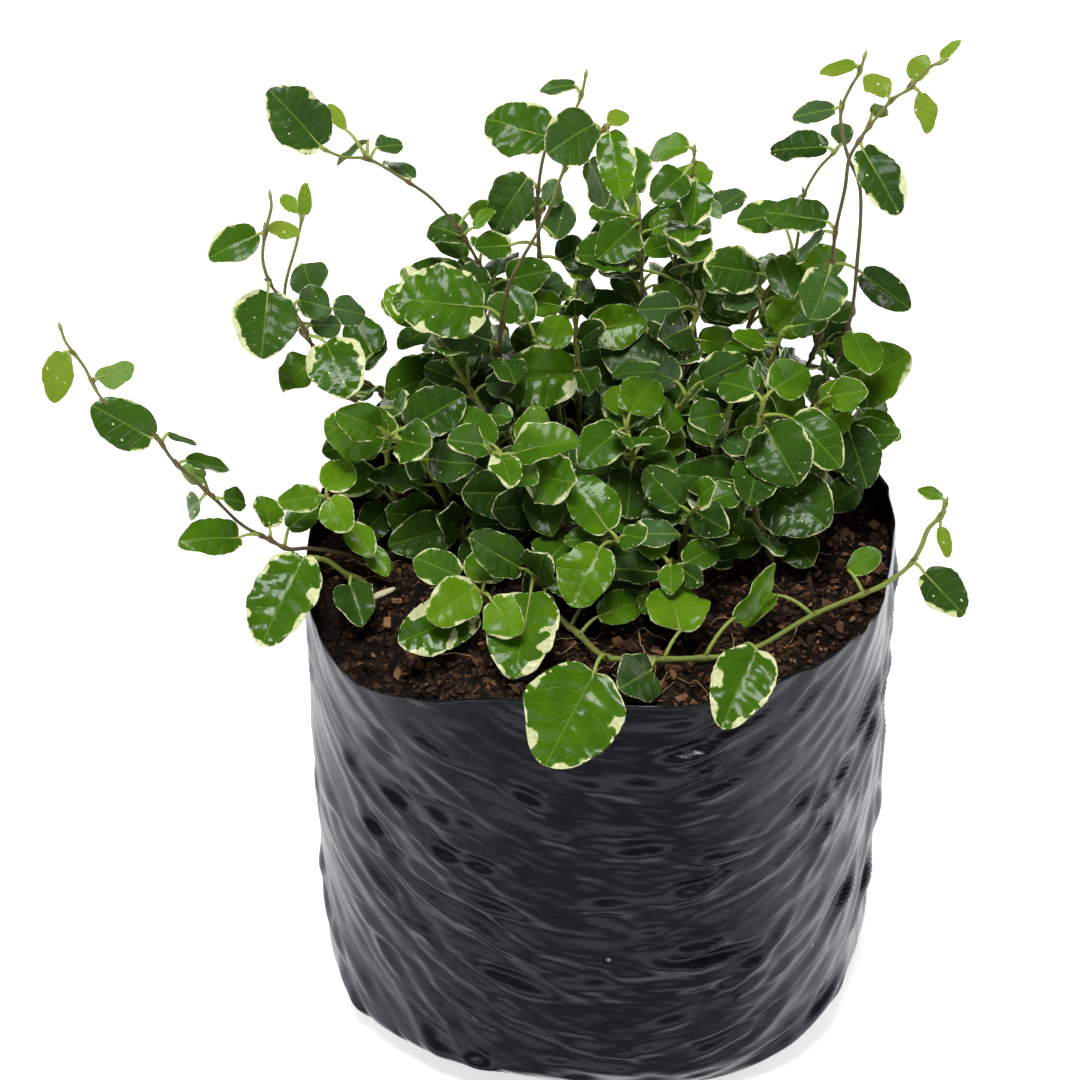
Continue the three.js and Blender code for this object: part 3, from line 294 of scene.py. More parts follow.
class Draw:
    """Seeded numbers from 0 to 1, one for each call: a 32-bit mixing generator."""

    def __init__(self, seed: int) -> None:
        """Start the generator at a seed."""
        self.state = seed & WORD

    def __call__(self) -> float:
        """Return the next number."""
        self.state = (self.state + 0x6D2B79F5) & WORD
        mixed = ((self.state ^ (self.state >> 15)) * (1 | self.state)) & WORD
        mixed = ((mixed + (mixed ^ (mixed >> 7)) * (61 | mixed)) ^ mixed) & WORD
        return (mixed ^ (mixed >> 14)) / 4294967296

    def within(self, limits: Span) -> float:
        """Return the next number, scaled to lie within limits."""
        return between(limits, self())


def between(limits: Span, share: float) -> float:
    """Return the value at a share of the way from the first limit to the second."""
    return limits[0] + (limits[1] - limits[0]) * share


def unit(vector: Array) -> Array:
    """Return a vector at length 1."""
    return vector / np.linalg.norm(vector)


def direction(azimuth: float, pitch: float) -> Array:
    """Return the unit vector at an azimuth and a pitch."""
    flat = math.cos(pitch)
    return np.array([math.cos(azimuth) * flat, math.sin(azimuth) * flat, math.sin(pitch)])


def units(vectors: Array) -> Array:
    """Return rows of vectors, each at length 1."""
    return vectors / np.linalg.norm(vectors, axis=1, keepdims=True)


def rotated(vector: Array, axis: Array, angle: float) -> Array:
    """Return a vector turned about a unit axis by an angle, by Rodrigues' formula."""
    cos, sin = math.cos(angle), math.sin(angle)
    return vector * cos + np.cross(axis, vector) * sin + axis * (axis @ vector) * (1 - cos)


def bell(theta: Array, middle: float, spread: float) -> Array:
    """Return a bell curve round an angle: exp(-(distance / spread)^2), 1 at its middle."""
    away = np.arctan2(np.sin(theta - middle), np.cos(theta - middle))
    return np.exp(-((away / spread) ** 2))


def smooth_noise(points: Array, seed: int) -> Array:
    """Return smooth value noise from 0 to 1: hashed corners of unit cells, blended with 3f^2 - 2f^3.

    Args:
        points: places, shape (..., 3).
        seed: which noise.

    Returns:
        One value for each place.
    """
    cell = np.floor(points).astype(np.int64)
    share = points - cell
    share = share * share * (3 - 2 * share)
    total = np.zeros(points.shape[:-1])
    for corner in product((0, 1), repeat=3):
        at = cell + np.array(corner)
        key = (at[..., 0] * 73856093) ^ (at[..., 1] * 19349663) ^ (at[..., 2] * 83492791) ^ (seed * 26544357)
        key &= WORD
        key = ((key ^ (key >> 13)) * 1274126177) & WORD
        weight = np.prod(np.where(corner, share, 1 - share), axis=-1)
        total += weight * ((key ^ (key >> 16)) / WORD)
    return total


def noise_at(seed: int, *place: Array | float) -> Array:
    """Return smooth noise at places given by their x, y and z, any of which may be one number."""
    return smooth_noise(np.stack(np.broadcast_arrays(*place), axis=-1), seed)


@dataclass(frozen=True)
class BagForm:
    """Form of the bag and of the soil in it, in millimetres, as in the part's solids."""

    rim_radius: float = 82
    mid_radius: float = 83
    low_radius: float = 83.5
    mid_share: float = 0.55
    rim_power: float = 1.5
    front_height: float = 136
    back_rise: float = 22
    rise_power: float = 1.6
    rise_turn: float = 0.3
    droop: float = 19
    droop_angle: float = math.radians(215)
    droop_spread: float = 0.45
    bulge: float = 4
    bulge_angle: float = math.radians(207)
    bulge_spread: float = 0.35
    square_angle: float = math.radians(212)
    square_low: float = 0.03
    square_rim: float = 0.02
    edge_round: float = 15
    wall: float = 0.9
    fold_depth: float = 0.7
    fold_waves: tuple[int, ...] = (3, 5, 7)
    fold_slants: tuple[int, ...] = (8, -6, 5)
    fold_last: float = 0.6
    soil_top: float = 131
    under_rim: float = 2.5
    slope_power: float = 4

    def rim_height(self, theta: Array) -> Array:
        """Return the height of the rim: a power of a sine that rises to the back, less the droop."""
        rise = (0.5 + 0.5 * np.sin(theta - self.rise_turn)) ** self.rise_power
        droop = self.droop * bell(theta, self.droop_angle, self.droop_spread)
        return self.front_height + self.back_rise * rise - droop

    def radius(self, theta: Array, z: Array) -> Array:
        """Return the outer radius without folds: a slack barrel, leaning to a square, with a round edge.

        Args:
            theta: angles round the bag.
            z: heights.
        """
        v = np.clip(z / self.rim_height(theta), 0, 1)
        low = np.sin(np.minimum(v / self.mid_share, 1) * math.pi / 2)
        high = np.maximum((v - self.mid_share) / (1 - self.mid_share), 0) ** self.rim_power
        round_plan = between((self.low_radius, self.mid_radius), low)
        round_plan = round_plan + (self.rim_radius - self.mid_radius) * high
        square = between((self.square_low, self.square_rim), v)
        plan = round_plan * (1 + square * np.cos(4 * (theta - self.square_angle)))
        under = np.maximum(1 - z / self.edge_round, 0)
        edge = self.edge_round * (1 - np.sqrt(np.maximum(1 - under * under, 0)))
        return plan + self.bulge * v * bell(theta, self.bulge_angle, self.bulge_spread) - edge

    def folds(self, theta: Array, z: Array) -> Array:
        """Return the height of the broad folds: a product of two slanting waves plus a third."""
        v = z / self.rim_height(theta)
        waves = [np.sin(n * theta + slant * v) for n, slant in zip(self.fold_waves, self.fold_slants)]
        swags = waves[0] * waves[1] + self.fold_last * waves[2]
        return self.fold_depth * swags * np.minimum(z / self.edge_round, 1)

    def soil_edge(self, theta: Array) -> Array:
        """Return the height at which the soil meets the wall."""
        return np.minimum(self.soil_top, self.rim_height(theta) - self.under_rim)

    def soil_height(self, x: Array, y: Array) -> Array:
        """Return the height of the soil's smooth top."""
        share = np.minimum(np.hypot(x, y) / self.rim_radius, 1)
        return self.soil_top - (self.soil_top - self.soil_edge(np.arctan2(y, x))) * share**self.slope_power


BAG = BagForm()


@dataclass(frozen=True)
class LeafRule:
    """Sizes and ranges that shape every leaf."""

    petiole_radius: float = 0.48
    shape_power: float = 0.72
    shape_round: float = 0.7
    lobe: float = 0.09
    fold: Span = (0.05, 0.32)
    curl: Span = (0.02, 0.26)
    wave: Span = (0.25, 0.85)
    wave_full_width: float = 12
    waves: Span = (1.3, 2.1)
    light: Spot = (0, -0.72, 0.69)
    light_scatter: float = 0.45


RULE = LeafRule()


@dataclass(frozen=True)
class Clearance:
    """Distances that leaves keep from what they must not cross, in millimetres, and where they are tested."""

    leaf: float = 1.7
    stem: float = 1.2
    own_leaf: float = 0.9
    ground: float = 1.9
    wall: float = 2.2
    petiole: float = 0.7
    petiole_less: float = 0.6
    margin: float = 0.8
    ends: Span = (0.02, 0.98)
    near_share: float = 0.62
    near_extra: float = 7
    along: tuple[float, ...] = (0.03, 0.15, 0.29, 0.43, 0.57, 0.71, 0.85, 1)
    across: tuple[float, ...] = (-1, -0.66, -0.33, 0, 0.33, 0.66, 1)
    petiole_places: tuple[float, ...] = (0.35, 0.7, 1)


CLEAR = Clearance()
FILL_CLEAR = Clearance(leaf=1.0, stem=0.9, own_leaf=0.7, ground=1.2, petiole_less=0.5)

# Turns of a leaf about the foot of its petiole, tried in this order: yaw, pitch (degrees) and size.
TURNS = (
    (0, 0, 1), (11, 0, 1), (-11, 0, 1), (0, 12, 1), (0, -12, 1), (22, 8, 1), (-22, 8, 1),
    (20, -14, 0.95), (-20, -14, 0.95), (38, 16, 0.9), (-38, 16, 0.9), (60, 5, 0.85), (-60, 5, 0.85),
)


@dataclass
class Wish:
    """A leaf as it is wanted, before it is turned clear of its neighbours."""

    place: float
    foot: Array
    base: Array
    tip: Array
    width: float
    roll: float
    look: Look


class Leaf:
    """A leaf: its frame, its size and the draws that shape it."""

    def __init__(self, wish: Wish, turn: Spot, seed: int) -> None:
        """Turn the wished leaf about the foot of its petiole and draw its shape.

        Args:
            wish: the leaf wanted.
            turn: yaw, pitch and size.
            seed: seed of its draws.
        """
        yaw, pitch, size = turn
        level = unit(np.cross(wish.tip - wish.base, UP))

        def turned(point: Array) -> Array:
            """Return a point after pitch and yaw about the foot."""
            tilted = rotated(point - wish.foot, level, math.radians(pitch))
            return rotated(tilted, UP, math.radians(yaw)) + wish.foot

        self.place = wish.place
        self.foot = wish.foot
        self.base = turned(wish.base)
        self.look = wish.look
        self.seed = seed
        reach = (turned(wish.tip) - self.base) * size
        self.width = wish.width * size
        draw = Draw(seed)
        self.length = float(np.linalg.norm(reach))
        self.along = reach / self.length
        scatter = np.array([draw() - 0.5, draw() - 0.5, draw() - 0.5])
        up = np.array(RULE.light) + scatter * RULE.light_scatter
        up = unit(up - self.along * (up @ self.along))
        self.up = rotated(up, self.along, math.radians(wish.roll))
        self.side = np.cross(self.up, self.along)
        self.fold = draw.within(RULE.fold)
        self.curl = draw.within(RULE.curl)
        self.wave = draw.within(RULE.wave) * min(self.width / RULE.wave_full_width, 1)
        self.waves = draw.within(RULE.waves)
        self.phases = (draw(), draw())
        self.middle = self.base + self.along * self.length / 2
        self.reach = max(self.length, self.width)
        self.blade_points = np.zeros((0, 3))
        self.petiole_points = np.zeros((0, 3))

    def half_width(self, s: Array) -> Array:
        """Return half the width: W/2 sin(pi s^a)^b, zero at both ends."""
        inner = np.clip(s, 1e-9, 1 - 1e-9)
        half = self.width / 2 * np.sin(math.pi * inner**RULE.shape_power) ** RULE.shape_round
        return np.where((s <= 0) | (s >= 1), 0, half)

    def height(self, s: Array, q: Array) -> Array:
        """Return the height over the flat frame: fold rising from the midrib, tip curl, and margin waves."""
        phase = np.where(q < 0, self.phases[0], self.phases[1])
        ripple = self.wave * q * q * np.sin(TURN * (self.waves * s + phase))
        return self.fold * np.abs(q) * self.half_width(s) - self.curl * self.length * s * s + ripple

    def points(self, s: Array, q: Array) -> Array:
        """Return points of the middle surface."""
        back = RULE.lobe * q * q * (1 - s) ** 3
        lengthwise = (self.length * (s - back))[..., None] * self.along
        across = (q * self.half_width(s))[..., None] * self.side
        return self.base + lengthwise + across + self.height(s, q)[..., None] * self.up

    def sample(self, rule: Clearance) -> None:
        """Keep the points of blade and petiole that the clearance test uses."""
        s, q = np.meshgrid(rule.along, rule.across, indexing="ij")
        self.blade_points = self.points(s.ravel(), q.ravel())
        shares = np.array(rule.petiole_places)[:, None]
        self.petiole_points = self.foot + (self.base - self.foot) * shares

    def heights_over(self, points: Array, reach: Array | float, rule: Clearance) -> Array:
        """Return signed heights of points over this leaf's surface, for those that lie over it.

        Args:
            points: places, shape (n, 3).
            reach: how far outside the outline a point still counts, for all or for each.
            rule: clearances, for the ends of the surface.

        Returns:
            Heights, NaN where a point isn't over the leaf.
        """
        offset = points - self.base
        s = offset @ self.along / self.length
        across = offset @ self.side
        end = reach / self.length
        inside = np.clip(s, *rule.ends)
        half = self.half_width(inside)
        q = np.clip(across / half, -1, 1)
        heights = offset @ self.up - self.height(inside, q)
        outside = (s < -end) | (s > 1 + end) | (np.abs(across) > half + reach)
        return np.where(outside, np.nan, heights)

    def crosses(self, points: Array, clearance: float, rule: Clearance) -> bool:
        """Return whether points of another surface come too near, or lie on both sides of this leaf."""
        heights = self.heights_over(points, rule.margin, rule)
        near = np.abs(heights) < clearance
        return bool(near.any() or ((heights > 0).any() and (heights <= 0).any()))

    def touches(self, points: Array, radii: Array | float, clearance: float, rule: Clearance) -> bool:
        """Return whether a rod, given by points and radii, comes too near to this leaf."""
        heights = self.heights_over(points, radii + rule.margin, rule)
        return bool((np.abs(heights) < radii + clearance).any())

    def meets_pot(self, rule: Clearance) -> bool:
        """Return whether the blade comes too near to the soil or to the bag's wall."""
        x, y, z = self.blade_points.T
        theta = np.arctan2(y, x)
        radius = np.hypot(x, y)
        outer = BAG.radius(theta, z)
        in_soil = (radius < outer) & (z < BAG.soil_height(x, y) + rule.ground)
        beside = (radius > outer - BAG.wall - rule.wall) & (radius < outer + rule.wall)
        return bool((in_soil | (beside & (z < BAG.rim_height(theta) + rule.wall))).any())


def leaves_cross(a: Leaf, b: Leaf, clearance: float, rule: Clearance) -> bool:
    """Return whether two leaves come too near to each other, blades and petioles."""
    nearer = clearance - rule.petiole_less
    rod = RULE.petiole_radius
    pairs = ((a, b), (b, a))
    if any(one.crosses(other.blade_points, clearance, rule) for one, other in pairs):
        return True
    return any(one.touches(other.petiole_points, rod, nearer, rule) for one, other in pairs)


@dataclass(frozen=True)
class StemRule:
    """Sizes of the stems, in millimetres."""

    root_radius: float = 0.9
    tip_radius: float = 0.6
    bud: float = 2.2
    root_depth: float = 10
    straight: float = 2
    sample_step: float = 1.6
    woody_above: float = 190


STEM = StemRule()


class Shoot:
    """A stem with its leaves."""

    def __init__(self, name: str, path: list, seed: int) -> None:
        """Root a path in the soil and sample it for the clearance test.

        Args:
            name: the shoot's own name.
            path: points from the soil to the tip.
            seed: seed from which those of its leaves follow.
        """
        x, y, z = path[0]
        root = [(x, y, z - STEM.root_depth), (x, y, z + STEM.straight)]
        self.name = name
        self.path = path
        self.seed = seed
        self.corners = np.array([*root, *path[1:]], float)
        self.leaves: list[Leaf] = []
        self.outward = 0.0
        self.height = 0.0
        self.woody = self.corners[-1, 2] > STEM.woody_above
        points = []
        shares = []
        last = len(self.corners) - 1
        for i, (here, there) in enumerate(zip(self.corners, self.corners[1:])):
            steps = math.ceil(np.linalg.norm(there - here) / STEM.sample_step)
            parts = np.arange(steps) / steps
            points.append(here + (there - here) * parts[:, None])
            shares.append((i + parts) / last)
        self.points = np.concatenate(points)
        self.radii = between((STEM.root_radius, STEM.tip_radius), np.concatenate(shares))

    def at(self, place: float) -> Array:
        """Return the point at a place counted in waypoints from the soil."""
        whole = min(max(math.floor(place), 0), len(self.corners) - 3)
        here, there = self.corners[whole + 1], self.corners[whole + 2]
        return here + (there - here) * (place - whole)

    def curve(self, places: Array) -> Array:
        """Return points of a smooth curve through the corners, at places counted from the root's end.

        It is the Catmull-Rom cubic: through corners 1 and 2, with slopes along the chords of 0-2 and 1-3.

        Args:
            places: numbers of corners, whole or between, from 0.
        """
        last = len(self.corners) - 1
        whole = np.clip(np.floor(places).astype(int), 0, last - 1)
        u = (places - whole)[:, None]
        a, b, c, d = (self.corners[np.clip(whole + i, 0, last)] for i in (-1, 0, 1, 2))
        slope = c - a
        bend = 2 * a - 5 * b + 4 * c - d
        twist = 3 * (b - c) + d - a
        return b + 0.5 * u * (slope + u * (bend + u * twist))


@dataclass(frozen=True)
class BushRule:
    """The inner bush: shoots that rise from the crown by a rule, on a spiral of roots."""

    shoots: int = 16
    centre: Span = (2, 22)
    reach: Span = (54, 40)
    height: Span = (38, 58)
    back_extra: float = 0.42
    lean: Span = (8, 24)
    node_spacing: float = 8.5
    first_node: float = 0.28
    leaf_length: Span = (14, 23)
    width_share: Span = (0.7, 0.9)
    petiole: Span = (3.5, 7)
    pitch: Span = (-12, 34)
    petiole_rise: float = 0.45
    side: Span = (55, 110)
    pitch_scatter: float = 30
    roll_scatter: float = 50
    tip_shorter: float = 0.25
    turn_scatter: float = 1.2
    rises: tuple[float, ...] = (0.3, 0.55, 0.8, 1)
    closest: float = 3.6
    attempts: int = 6
    attempt_shift: float = 3
    seed: int = 29
    leaf_seed: int = 5000
    look_shift: int = 50
    high_share: float = 0.45
    # Darker looks low in the bush are painted shade, brighter looks high in it are painted light.
    shaded_low_looks: str = "ddddesse"
    lit_high_looks: str = "gggmmgebsed"


BUSH = BushRule()


@dataclass(frozen=True)
class FillRule:
    """Small leaves that only the looks have, on the stems inside the bush."""

    seed: int = 40000
    spacing: float = 4.2
    length: Span = (9, 19)
    width_share: Span = (0.68, 0.88)
    petiole: Span = (2.5, 6.5)
    pitch: Span = (-25, 45)
    roll: float = 70
    rise: float = 0.5
    places: Span = (0.1, 0.98)
    reach: Span = (74, 62)
    crown: float = 192
    lowest: float = 134
    high: float = 165


FILL = FillRule()
SHOOT_SEED = 100
MOST_LEAVES = 900


def chosen_look(high: bool, number: float) -> Look:
    """Return the look for a number from 0 to 1: darker leaves low as painted shade, brighter ones high as
    painted light.
    """
    looks = BUSH.lit_high_looks if high else BUSH.shaded_low_looks
    return LOOK_OF[looks[int(number * len(looks))]]


class Plant:
    """All shoots with their leaves, grown in the order of the part's solids, then the small leaves."""

    def __init__(self) -> None:
        """Grow the listed shoots, the bush, and their leaves."""
        self.shoots = [Shoot(s.name, list(s.path), SHOOT_SEED * i) for i, s in enumerate(SHOOTS)]
        self.add_bush()
        self.stem_points = np.concatenate([s.points for s in self.shoots])
        self.stem_radii = np.concatenate([s.radii for s in self.shoots])
        self.stem_owner = np.concatenate([np.full(len(s.points), i) for i, s in enumerate(self.shoots)])
        self.placed: list[tuple[int, Leaf]] = []
        self.middles = np.zeros((MOST_LEAVES, 3))
        self.reaches = np.zeros(MOST_LEAVES)
        for i, shoot in enumerate(self.shoots):
            wishes = self.hand_wishes(shoot, SHOOTS[i]) if i < len(SHOOTS) else self.bush_wishes(shoot)
            for k, wish in enumerate(wishes):
                self.place(wish, i, shoot.seed + k + 1, CLEAR)

    def add_bush(self) -> None:
        """Add the bush's stems where they clear the stems that are there."""
        draw = Draw(BUSH.seed)
        golden = math.pi * (3 - math.sqrt(5))
        for i in range(BUSH.shoots):
            spread = math.sqrt((i + 0.5) / BUSH.shoots)
            x = BUSH.centre[0] + BUSH.reach[0] * spread * math.cos(golden * i)
            y = BUSH.centre[1] + BUSH.reach[1] * spread * math.sin(golden * i)
            for attempt in range(BUSH.attempts):
                shift = BUSH.attempt_shift * attempt
                angle = TURN * draw()
                root = (x + shift * math.cos(angle), y + shift * math.sin(angle))
                shoot = self.bush_shoot(f"bush_{i + 1:02d}", root, BUSH.leaf_seed + SHOOT_SEED * i, draw)
                if self.stem_distance(shoot) >= BUSH.closest:
                    self.shoots.append(shoot)
                    break

    def bush_shoot(self, name: str, root: Span, seed: int, draw: Draw) -> Shoot:
        """Return a bush shoot that rises from a root, leaning outwards by the square of its rise.

        Args:
            name: its own name.
            root: x and y of its root.
            seed: seed of its leaves.
            draw: the bush's draws.
        """
        x, y = root
        straight = math.atan2(y - BUSH.centre[1], x - BUSH.centre[0])
        outward = straight + (draw() - 0.5) * BUSH.turn_scatter
        lean = draw.within(BUSH.lean)
        height = draw.within(BUSH.height) + BUSH.back_extra * (y - BUSH.centre[1])
        ground = float(BAG.soil_height(x, y))
        path = [(x, y, ground)]
        for rise in BUSH.rises:
            away = lean * rise * rise
            path.append((x + away * math.cos(outward), y + away * math.sin(outward), ground + height * rise))
        shoot = Shoot(name, path, seed)
        shoot.outward = outward
        shoot.height = height
        return shoot

    def stem_distance(self, new: Shoot) -> float:
        """Return the smallest distance between a new stem and all stems placed so far."""
        gaps = [np.linalg.norm(s.points[:, None] - new.points[None], axis=-1).min() for s in self.shoots]
        return float(min(gaps))

    def hand_wishes(self, shoot: Shoot, source: HandShoot) -> list[Wish]:
        """Return the leaves wished for on a listed shoot."""
        wishes = []
        for letter, (place, base, tip, width, *roll) in zip(source.looks, source.leaves):
            ends = np.array(base, float), np.array(tip, float)
            wishes.append(Wish(place, shoot.at(place), *ends, width, roll[0] if roll else 0, LOOK_OF[letter]))
        return wishes

    def bush_wishes(self, shoot: Shoot) -> list[Wish]:
        """Return leaves that alternate on both sides of a bush stem, rising towards its tip.

        Args:
            shoot: a shoot of the bush.
        """
        draw = Draw(shoot.seed)
        choose = Draw(shoot.seed + BUSH.look_shift)
        last = len(shoot.path) - 1
        count = math.floor(shoot.height * (1 - BUSH.first_node) / BUSH.node_spacing + 0.5)
        wishes = []
        for i in range(count):
            share = (i + 1) / count
            place = last * (BUSH.first_node + (1 - BUSH.first_node) * share)
            side = 1 if i % 2 else -1
            spread = 0 if i + 1 == count else side * math.radians(draw.within(BUSH.side))
            pitch = math.radians(between(BUSH.pitch, share) + (draw() - 0.5) * BUSH.pitch_scatter)
            along = direction(shoot.outward + spread, pitch)
            length = draw.within(BUSH.leaf_length) * (1 - BUSH.tip_shorter * share)
            foot = shoot.at(place)
            rise = unit(np.array([along[0], along[1], max(along[2], 0) + BUSH.petiole_rise]))
            base = foot + rise * draw.within(BUSH.petiole)
            width = length * draw.within(BUSH.width_share)
            roll = (draw() - 0.5) * BUSH.roll_scatter
            # Painted shade and light: darker looks on the lower part of each stem, brighter ones higher up.
            look = chosen_look(share > BUSH.high_share, choose())
            wishes.append(Wish(place, foot, base, base + along * length, width, roll, look))
        return wishes

    def place(self, wish: Wish, index: int, seed: int, rule: Clearance) -> Leaf | None:
        """Add the first turn of a leaf that clears everything placed so far.

        Args:
            wish: the leaf wanted.
            index: which shoot it grows on.
            seed: seed of its draws.
            rule: the clearances to keep.

        Returns:
            The leaf, or None where no turn is clear.
        """
        others = self.stem_owner != index
        points, radii = self.stem_points[others], self.stem_radii[others]
        for turn in TURNS:
            leaf = Leaf(wish, turn, seed)
            leaf.sample(rule)
            if self.blocked(leaf, index, points, radii, rule):
                continue
            self.middles[len(self.placed)] = leaf.middle
            self.reaches[len(self.placed)] = leaf.reach
            self.placed.append((index, leaf))
            self.shoots[index].leaves.append(leaf)
            return leaf
        return None

    def blocked(self, leaf: Leaf, index: int, points: Array, radii: Array, rule: Clearance) -> bool:
        """Return whether a leaf meets the pot, another shoot's stem, or a leaf.

        Args:
            leaf: the leaf, turned and sampled.
            index: which shoot it grows on.
            points: points of the other shoots' stems.
            radii: the stems' radii there.
            rule: the clearances to keep.
        """
        if leaf.meets_pot(rule) or leaf.touches(points, radii, rule.stem, rule):
            return True
        gaps = np.linalg.norm(leaf.petiole_points[:, None] - points[None], axis=-1)
        if (gaps < radii + RULE.petiole_radius + rule.petiole).any():
            return True
        count = len(self.placed)
        sizes = self.reaches[:count] + leaf.reach
        apart = np.linalg.norm(self.middles[:count] - leaf.middle, axis=1)
        for number in np.flatnonzero(apart <= sizes * rule.near_share + rule.near_extra):
            owner, placed = self.placed[number]
            if leaves_cross(leaf, placed, rule.own_leaf if owner == index else rule.leaf, rule):
                return True
        return False

    def fill(self) -> int:
        """Add small leaves along the stems inside the bush, where they are clear, and return their number.

        Each goes out from its stem in a seeded direction, with seeded size and pitch.
        """
        added = 0
        for index, shoot in enumerate(self.shoots):
            for leaf in list(shoot.leaves):
                leaf.sample(FILL_CLEAR)
            draw = Draw(FILL.seed + index)
            last = len(shoot.path) - 1
            count = int(len(shoot.points) * STEM.sample_step / FILL.spacing)
            for k in range(count):
                place = last * draw.within(FILL.places)
                foot = shoot.at(place)
                numbers = [draw() for _ in range(7)]
                if self.outside_bush(foot):
                    continue
                along = direction(TURN * numbers[0], math.radians(between(FILL.pitch, numbers[1])))
                length = between(FILL.length, numbers[2])
                rise = unit(np.array([along[0], along[1], FILL.rise]))
                base = foot + rise * between(FILL.petiole, numbers[3])
                # Painted shade and light: darker looks for low leaves, brighter ones above the given height.
                look = chosen_look(foot[2] - BUSH.back_extra * foot[1] > FILL.high, numbers[4])
                roll = (numbers[5] - 0.5) * FILL.roll
                width = length * between(FILL.width_share, numbers[6])
                wish = Wish(place, foot, base, base + along * length, width, roll, look)
                if self.place(wish, index, FILL.seed + 100 * index + k, FILL_CLEAR):
                    added += 1
        return added

    @staticmethod
    def outside_bush(point: Array) -> bool:
        """Return whether a point lies outside the bush's ellipse or above its crown."""
        x = (point[0] - BUSH.centre[0]) / FILL.reach[0]
        y = (point[1] - BUSH.centre[1]) / FILL.reach[1]
        crown = FILL.crown + BUSH.back_extra * (point[1] - BUSH.centre[1])
        return bool(x * x + y * y > 1 or point[2] > crown or point[2] < FILL.lowest)


def linked(thing: bpy.types.Object) -> bpy.types.Object:
    """Link an object to the scene and return it."""
    bpy.context.scene.collection.objects.link(thing)
    return thing


class Shape:
    """A mesh in the making: points in millimetres, faces with a material, and values kept on the points."""

    def __init__(self, name: str, names: tuple[str, ...] = ()) -> None:
        """Start an empty shape.

        Args:
            name: name of the piece.
            names: names of the vector values that each point carries.
        """
        self.name = name
        self.names = names
        self.points: list[Array] = []
        self.faces: list[tuple[Array, int]] = []
        self.values: dict[str, list[Array]] = {key: [] for key in names}
        self.borders: list[Array] = []
        self.count = 0

    def add(self, points: Array, faces: list[Array], material: int = 0, border: Array | None = None,
            **values: Array) -> None:
        """Add a part.

        Args:
            points: its points, shape (n, 3).
            faces: arrays of point numbers, one row for each face.
            material: number of its material.
            border: 1 or 2 for points of a sharp border, points with the same number being joined by it.
            values: vector values of its points, shape (n, 3) or (3,).
        """
        self.points.append(points)
        self.faces += [(face + self.count, material) for face in faces]
        self.borders.append(np.zeros(len(points), int) if border is None else border)
        for key in self.names:
            self.values[key].append(np.broadcast_to(values[key], (len(points), 3)))
        self.count += len(points)

    def add_skin(self, rings: Array, first: Spot, last: Spot) -> None:
        """Add rings of points, shape (rings, columns, 3), closed by a fan to a pole at each end."""
        points = np.concatenate([rings.reshape(-1, 3), np.array([first, last])])
        self.add(points, skin_faces(*rings.shape[:2]))

    def build(self, materials: list[bpy.types.Material], flat: bool = False) -> bpy.types.Object:
        """Return the shape as an object at the origin.

        Args:
            materials: its materials, by number.
            flat: whether its faces are flat facets.

        Returns:
            The new object, linked to the scene.
        """
        mesh = bpy.data.meshes.new(self.name)
        points = np.concatenate(self.points) * MM
        sizes = np.concatenate([np.full(len(face), face.shape[1]) for face, _ in self.faces])
        corners = np.concatenate([face.ravel() for face, _ in self.faces])
        numbers = np.concatenate([np.full(len(face), number) for face, number in self.faces])
        mesh.vertices.add(len(points))
        mesh.vertices.foreach_set("co", points.astype(np.float32).ravel())
        mesh.loops.add(len(corners))
        mesh.loops.foreach_set("vertex_index", corners.astype(np.int32))
        mesh.polygons.add(len(sizes))
        mesh.polygons.foreach_set("loop_start", (np.cumsum(sizes) - sizes).astype(np.int32))
        mesh.polygons.foreach_set("material_index", numbers.astype(np.int32))
        mesh.update(calc_edges=True)
        for key in self.names:
            values = np.concatenate(self.values[key]).astype(np.float32)
            mesh.attributes.new(key, "FLOAT_VECTOR", "POINT").data.foreach_set("vector", values.ravel())
        if flat:
            mesh.shade_flat()
        self.mark_borders(mesh)
        for material in materials:
            mesh.materials.append(material)
        return linked(bpy.data.objects.new(self.name, mesh))

    def mark_borders(self, mesh: bpy.types.Mesh) -> None:
        """Mark as sharp every edge whose two ends are on the same border.

        Args:
            mesh: the finished mesh.
        """
        border = np.concatenate(self.borders)
        if not border.any():
            return
        ends = np.zeros(len(mesh.edges) * 2, np.int32)
        mesh.edges.foreach_get("vertices", ends)
        first, second = border[ends[0::2]], border[ends[1::2]]
        sharp = (first > 0) & (first == second)
        layer = mesh.attributes.new("sharp_edge", "BOOLEAN", "EDGE")
        layer.data.foreach_set("value", sharp)


def grid_faces(rows: int, columns: int, closed: bool = False) -> Array:
    """Return the faces of a grid of points, numbered row by row.

    Args:
        rows: number of rows.
        columns: number of points in a row.
        closed: whether the last column joins the first.

    Returns:
        Faces that turn from the row's direction to the column's.
    """
    row = np.arange(rows - 1)[:, None] * columns
    first = np.arange(columns if closed else columns - 1)[None]
    second = (first + 1) % columns
    corners = row + first, row + columns + first, row + columns + second, row + second
    return np.stack([corner.ravel() for corner in corners], axis=1)


def skin_faces(rows: int, columns: int) -> list[Array]:
    """Return the faces of rings of points closed by a fan at each end, the two poles numbered last."""
    here = np.arange(columns)
    there = (here + 1) % columns
    last = (rows - 1) * columns
    first_fan = np.stack([np.full(columns, rows * columns), there, here], axis=1)
    last_fan = np.stack([np.full(columns, rows * columns + 1), last + here, last + there], axis=1)
    return [grid_faces(rows, columns, closed=True)[:, ::-1], first_fan, last_fan]


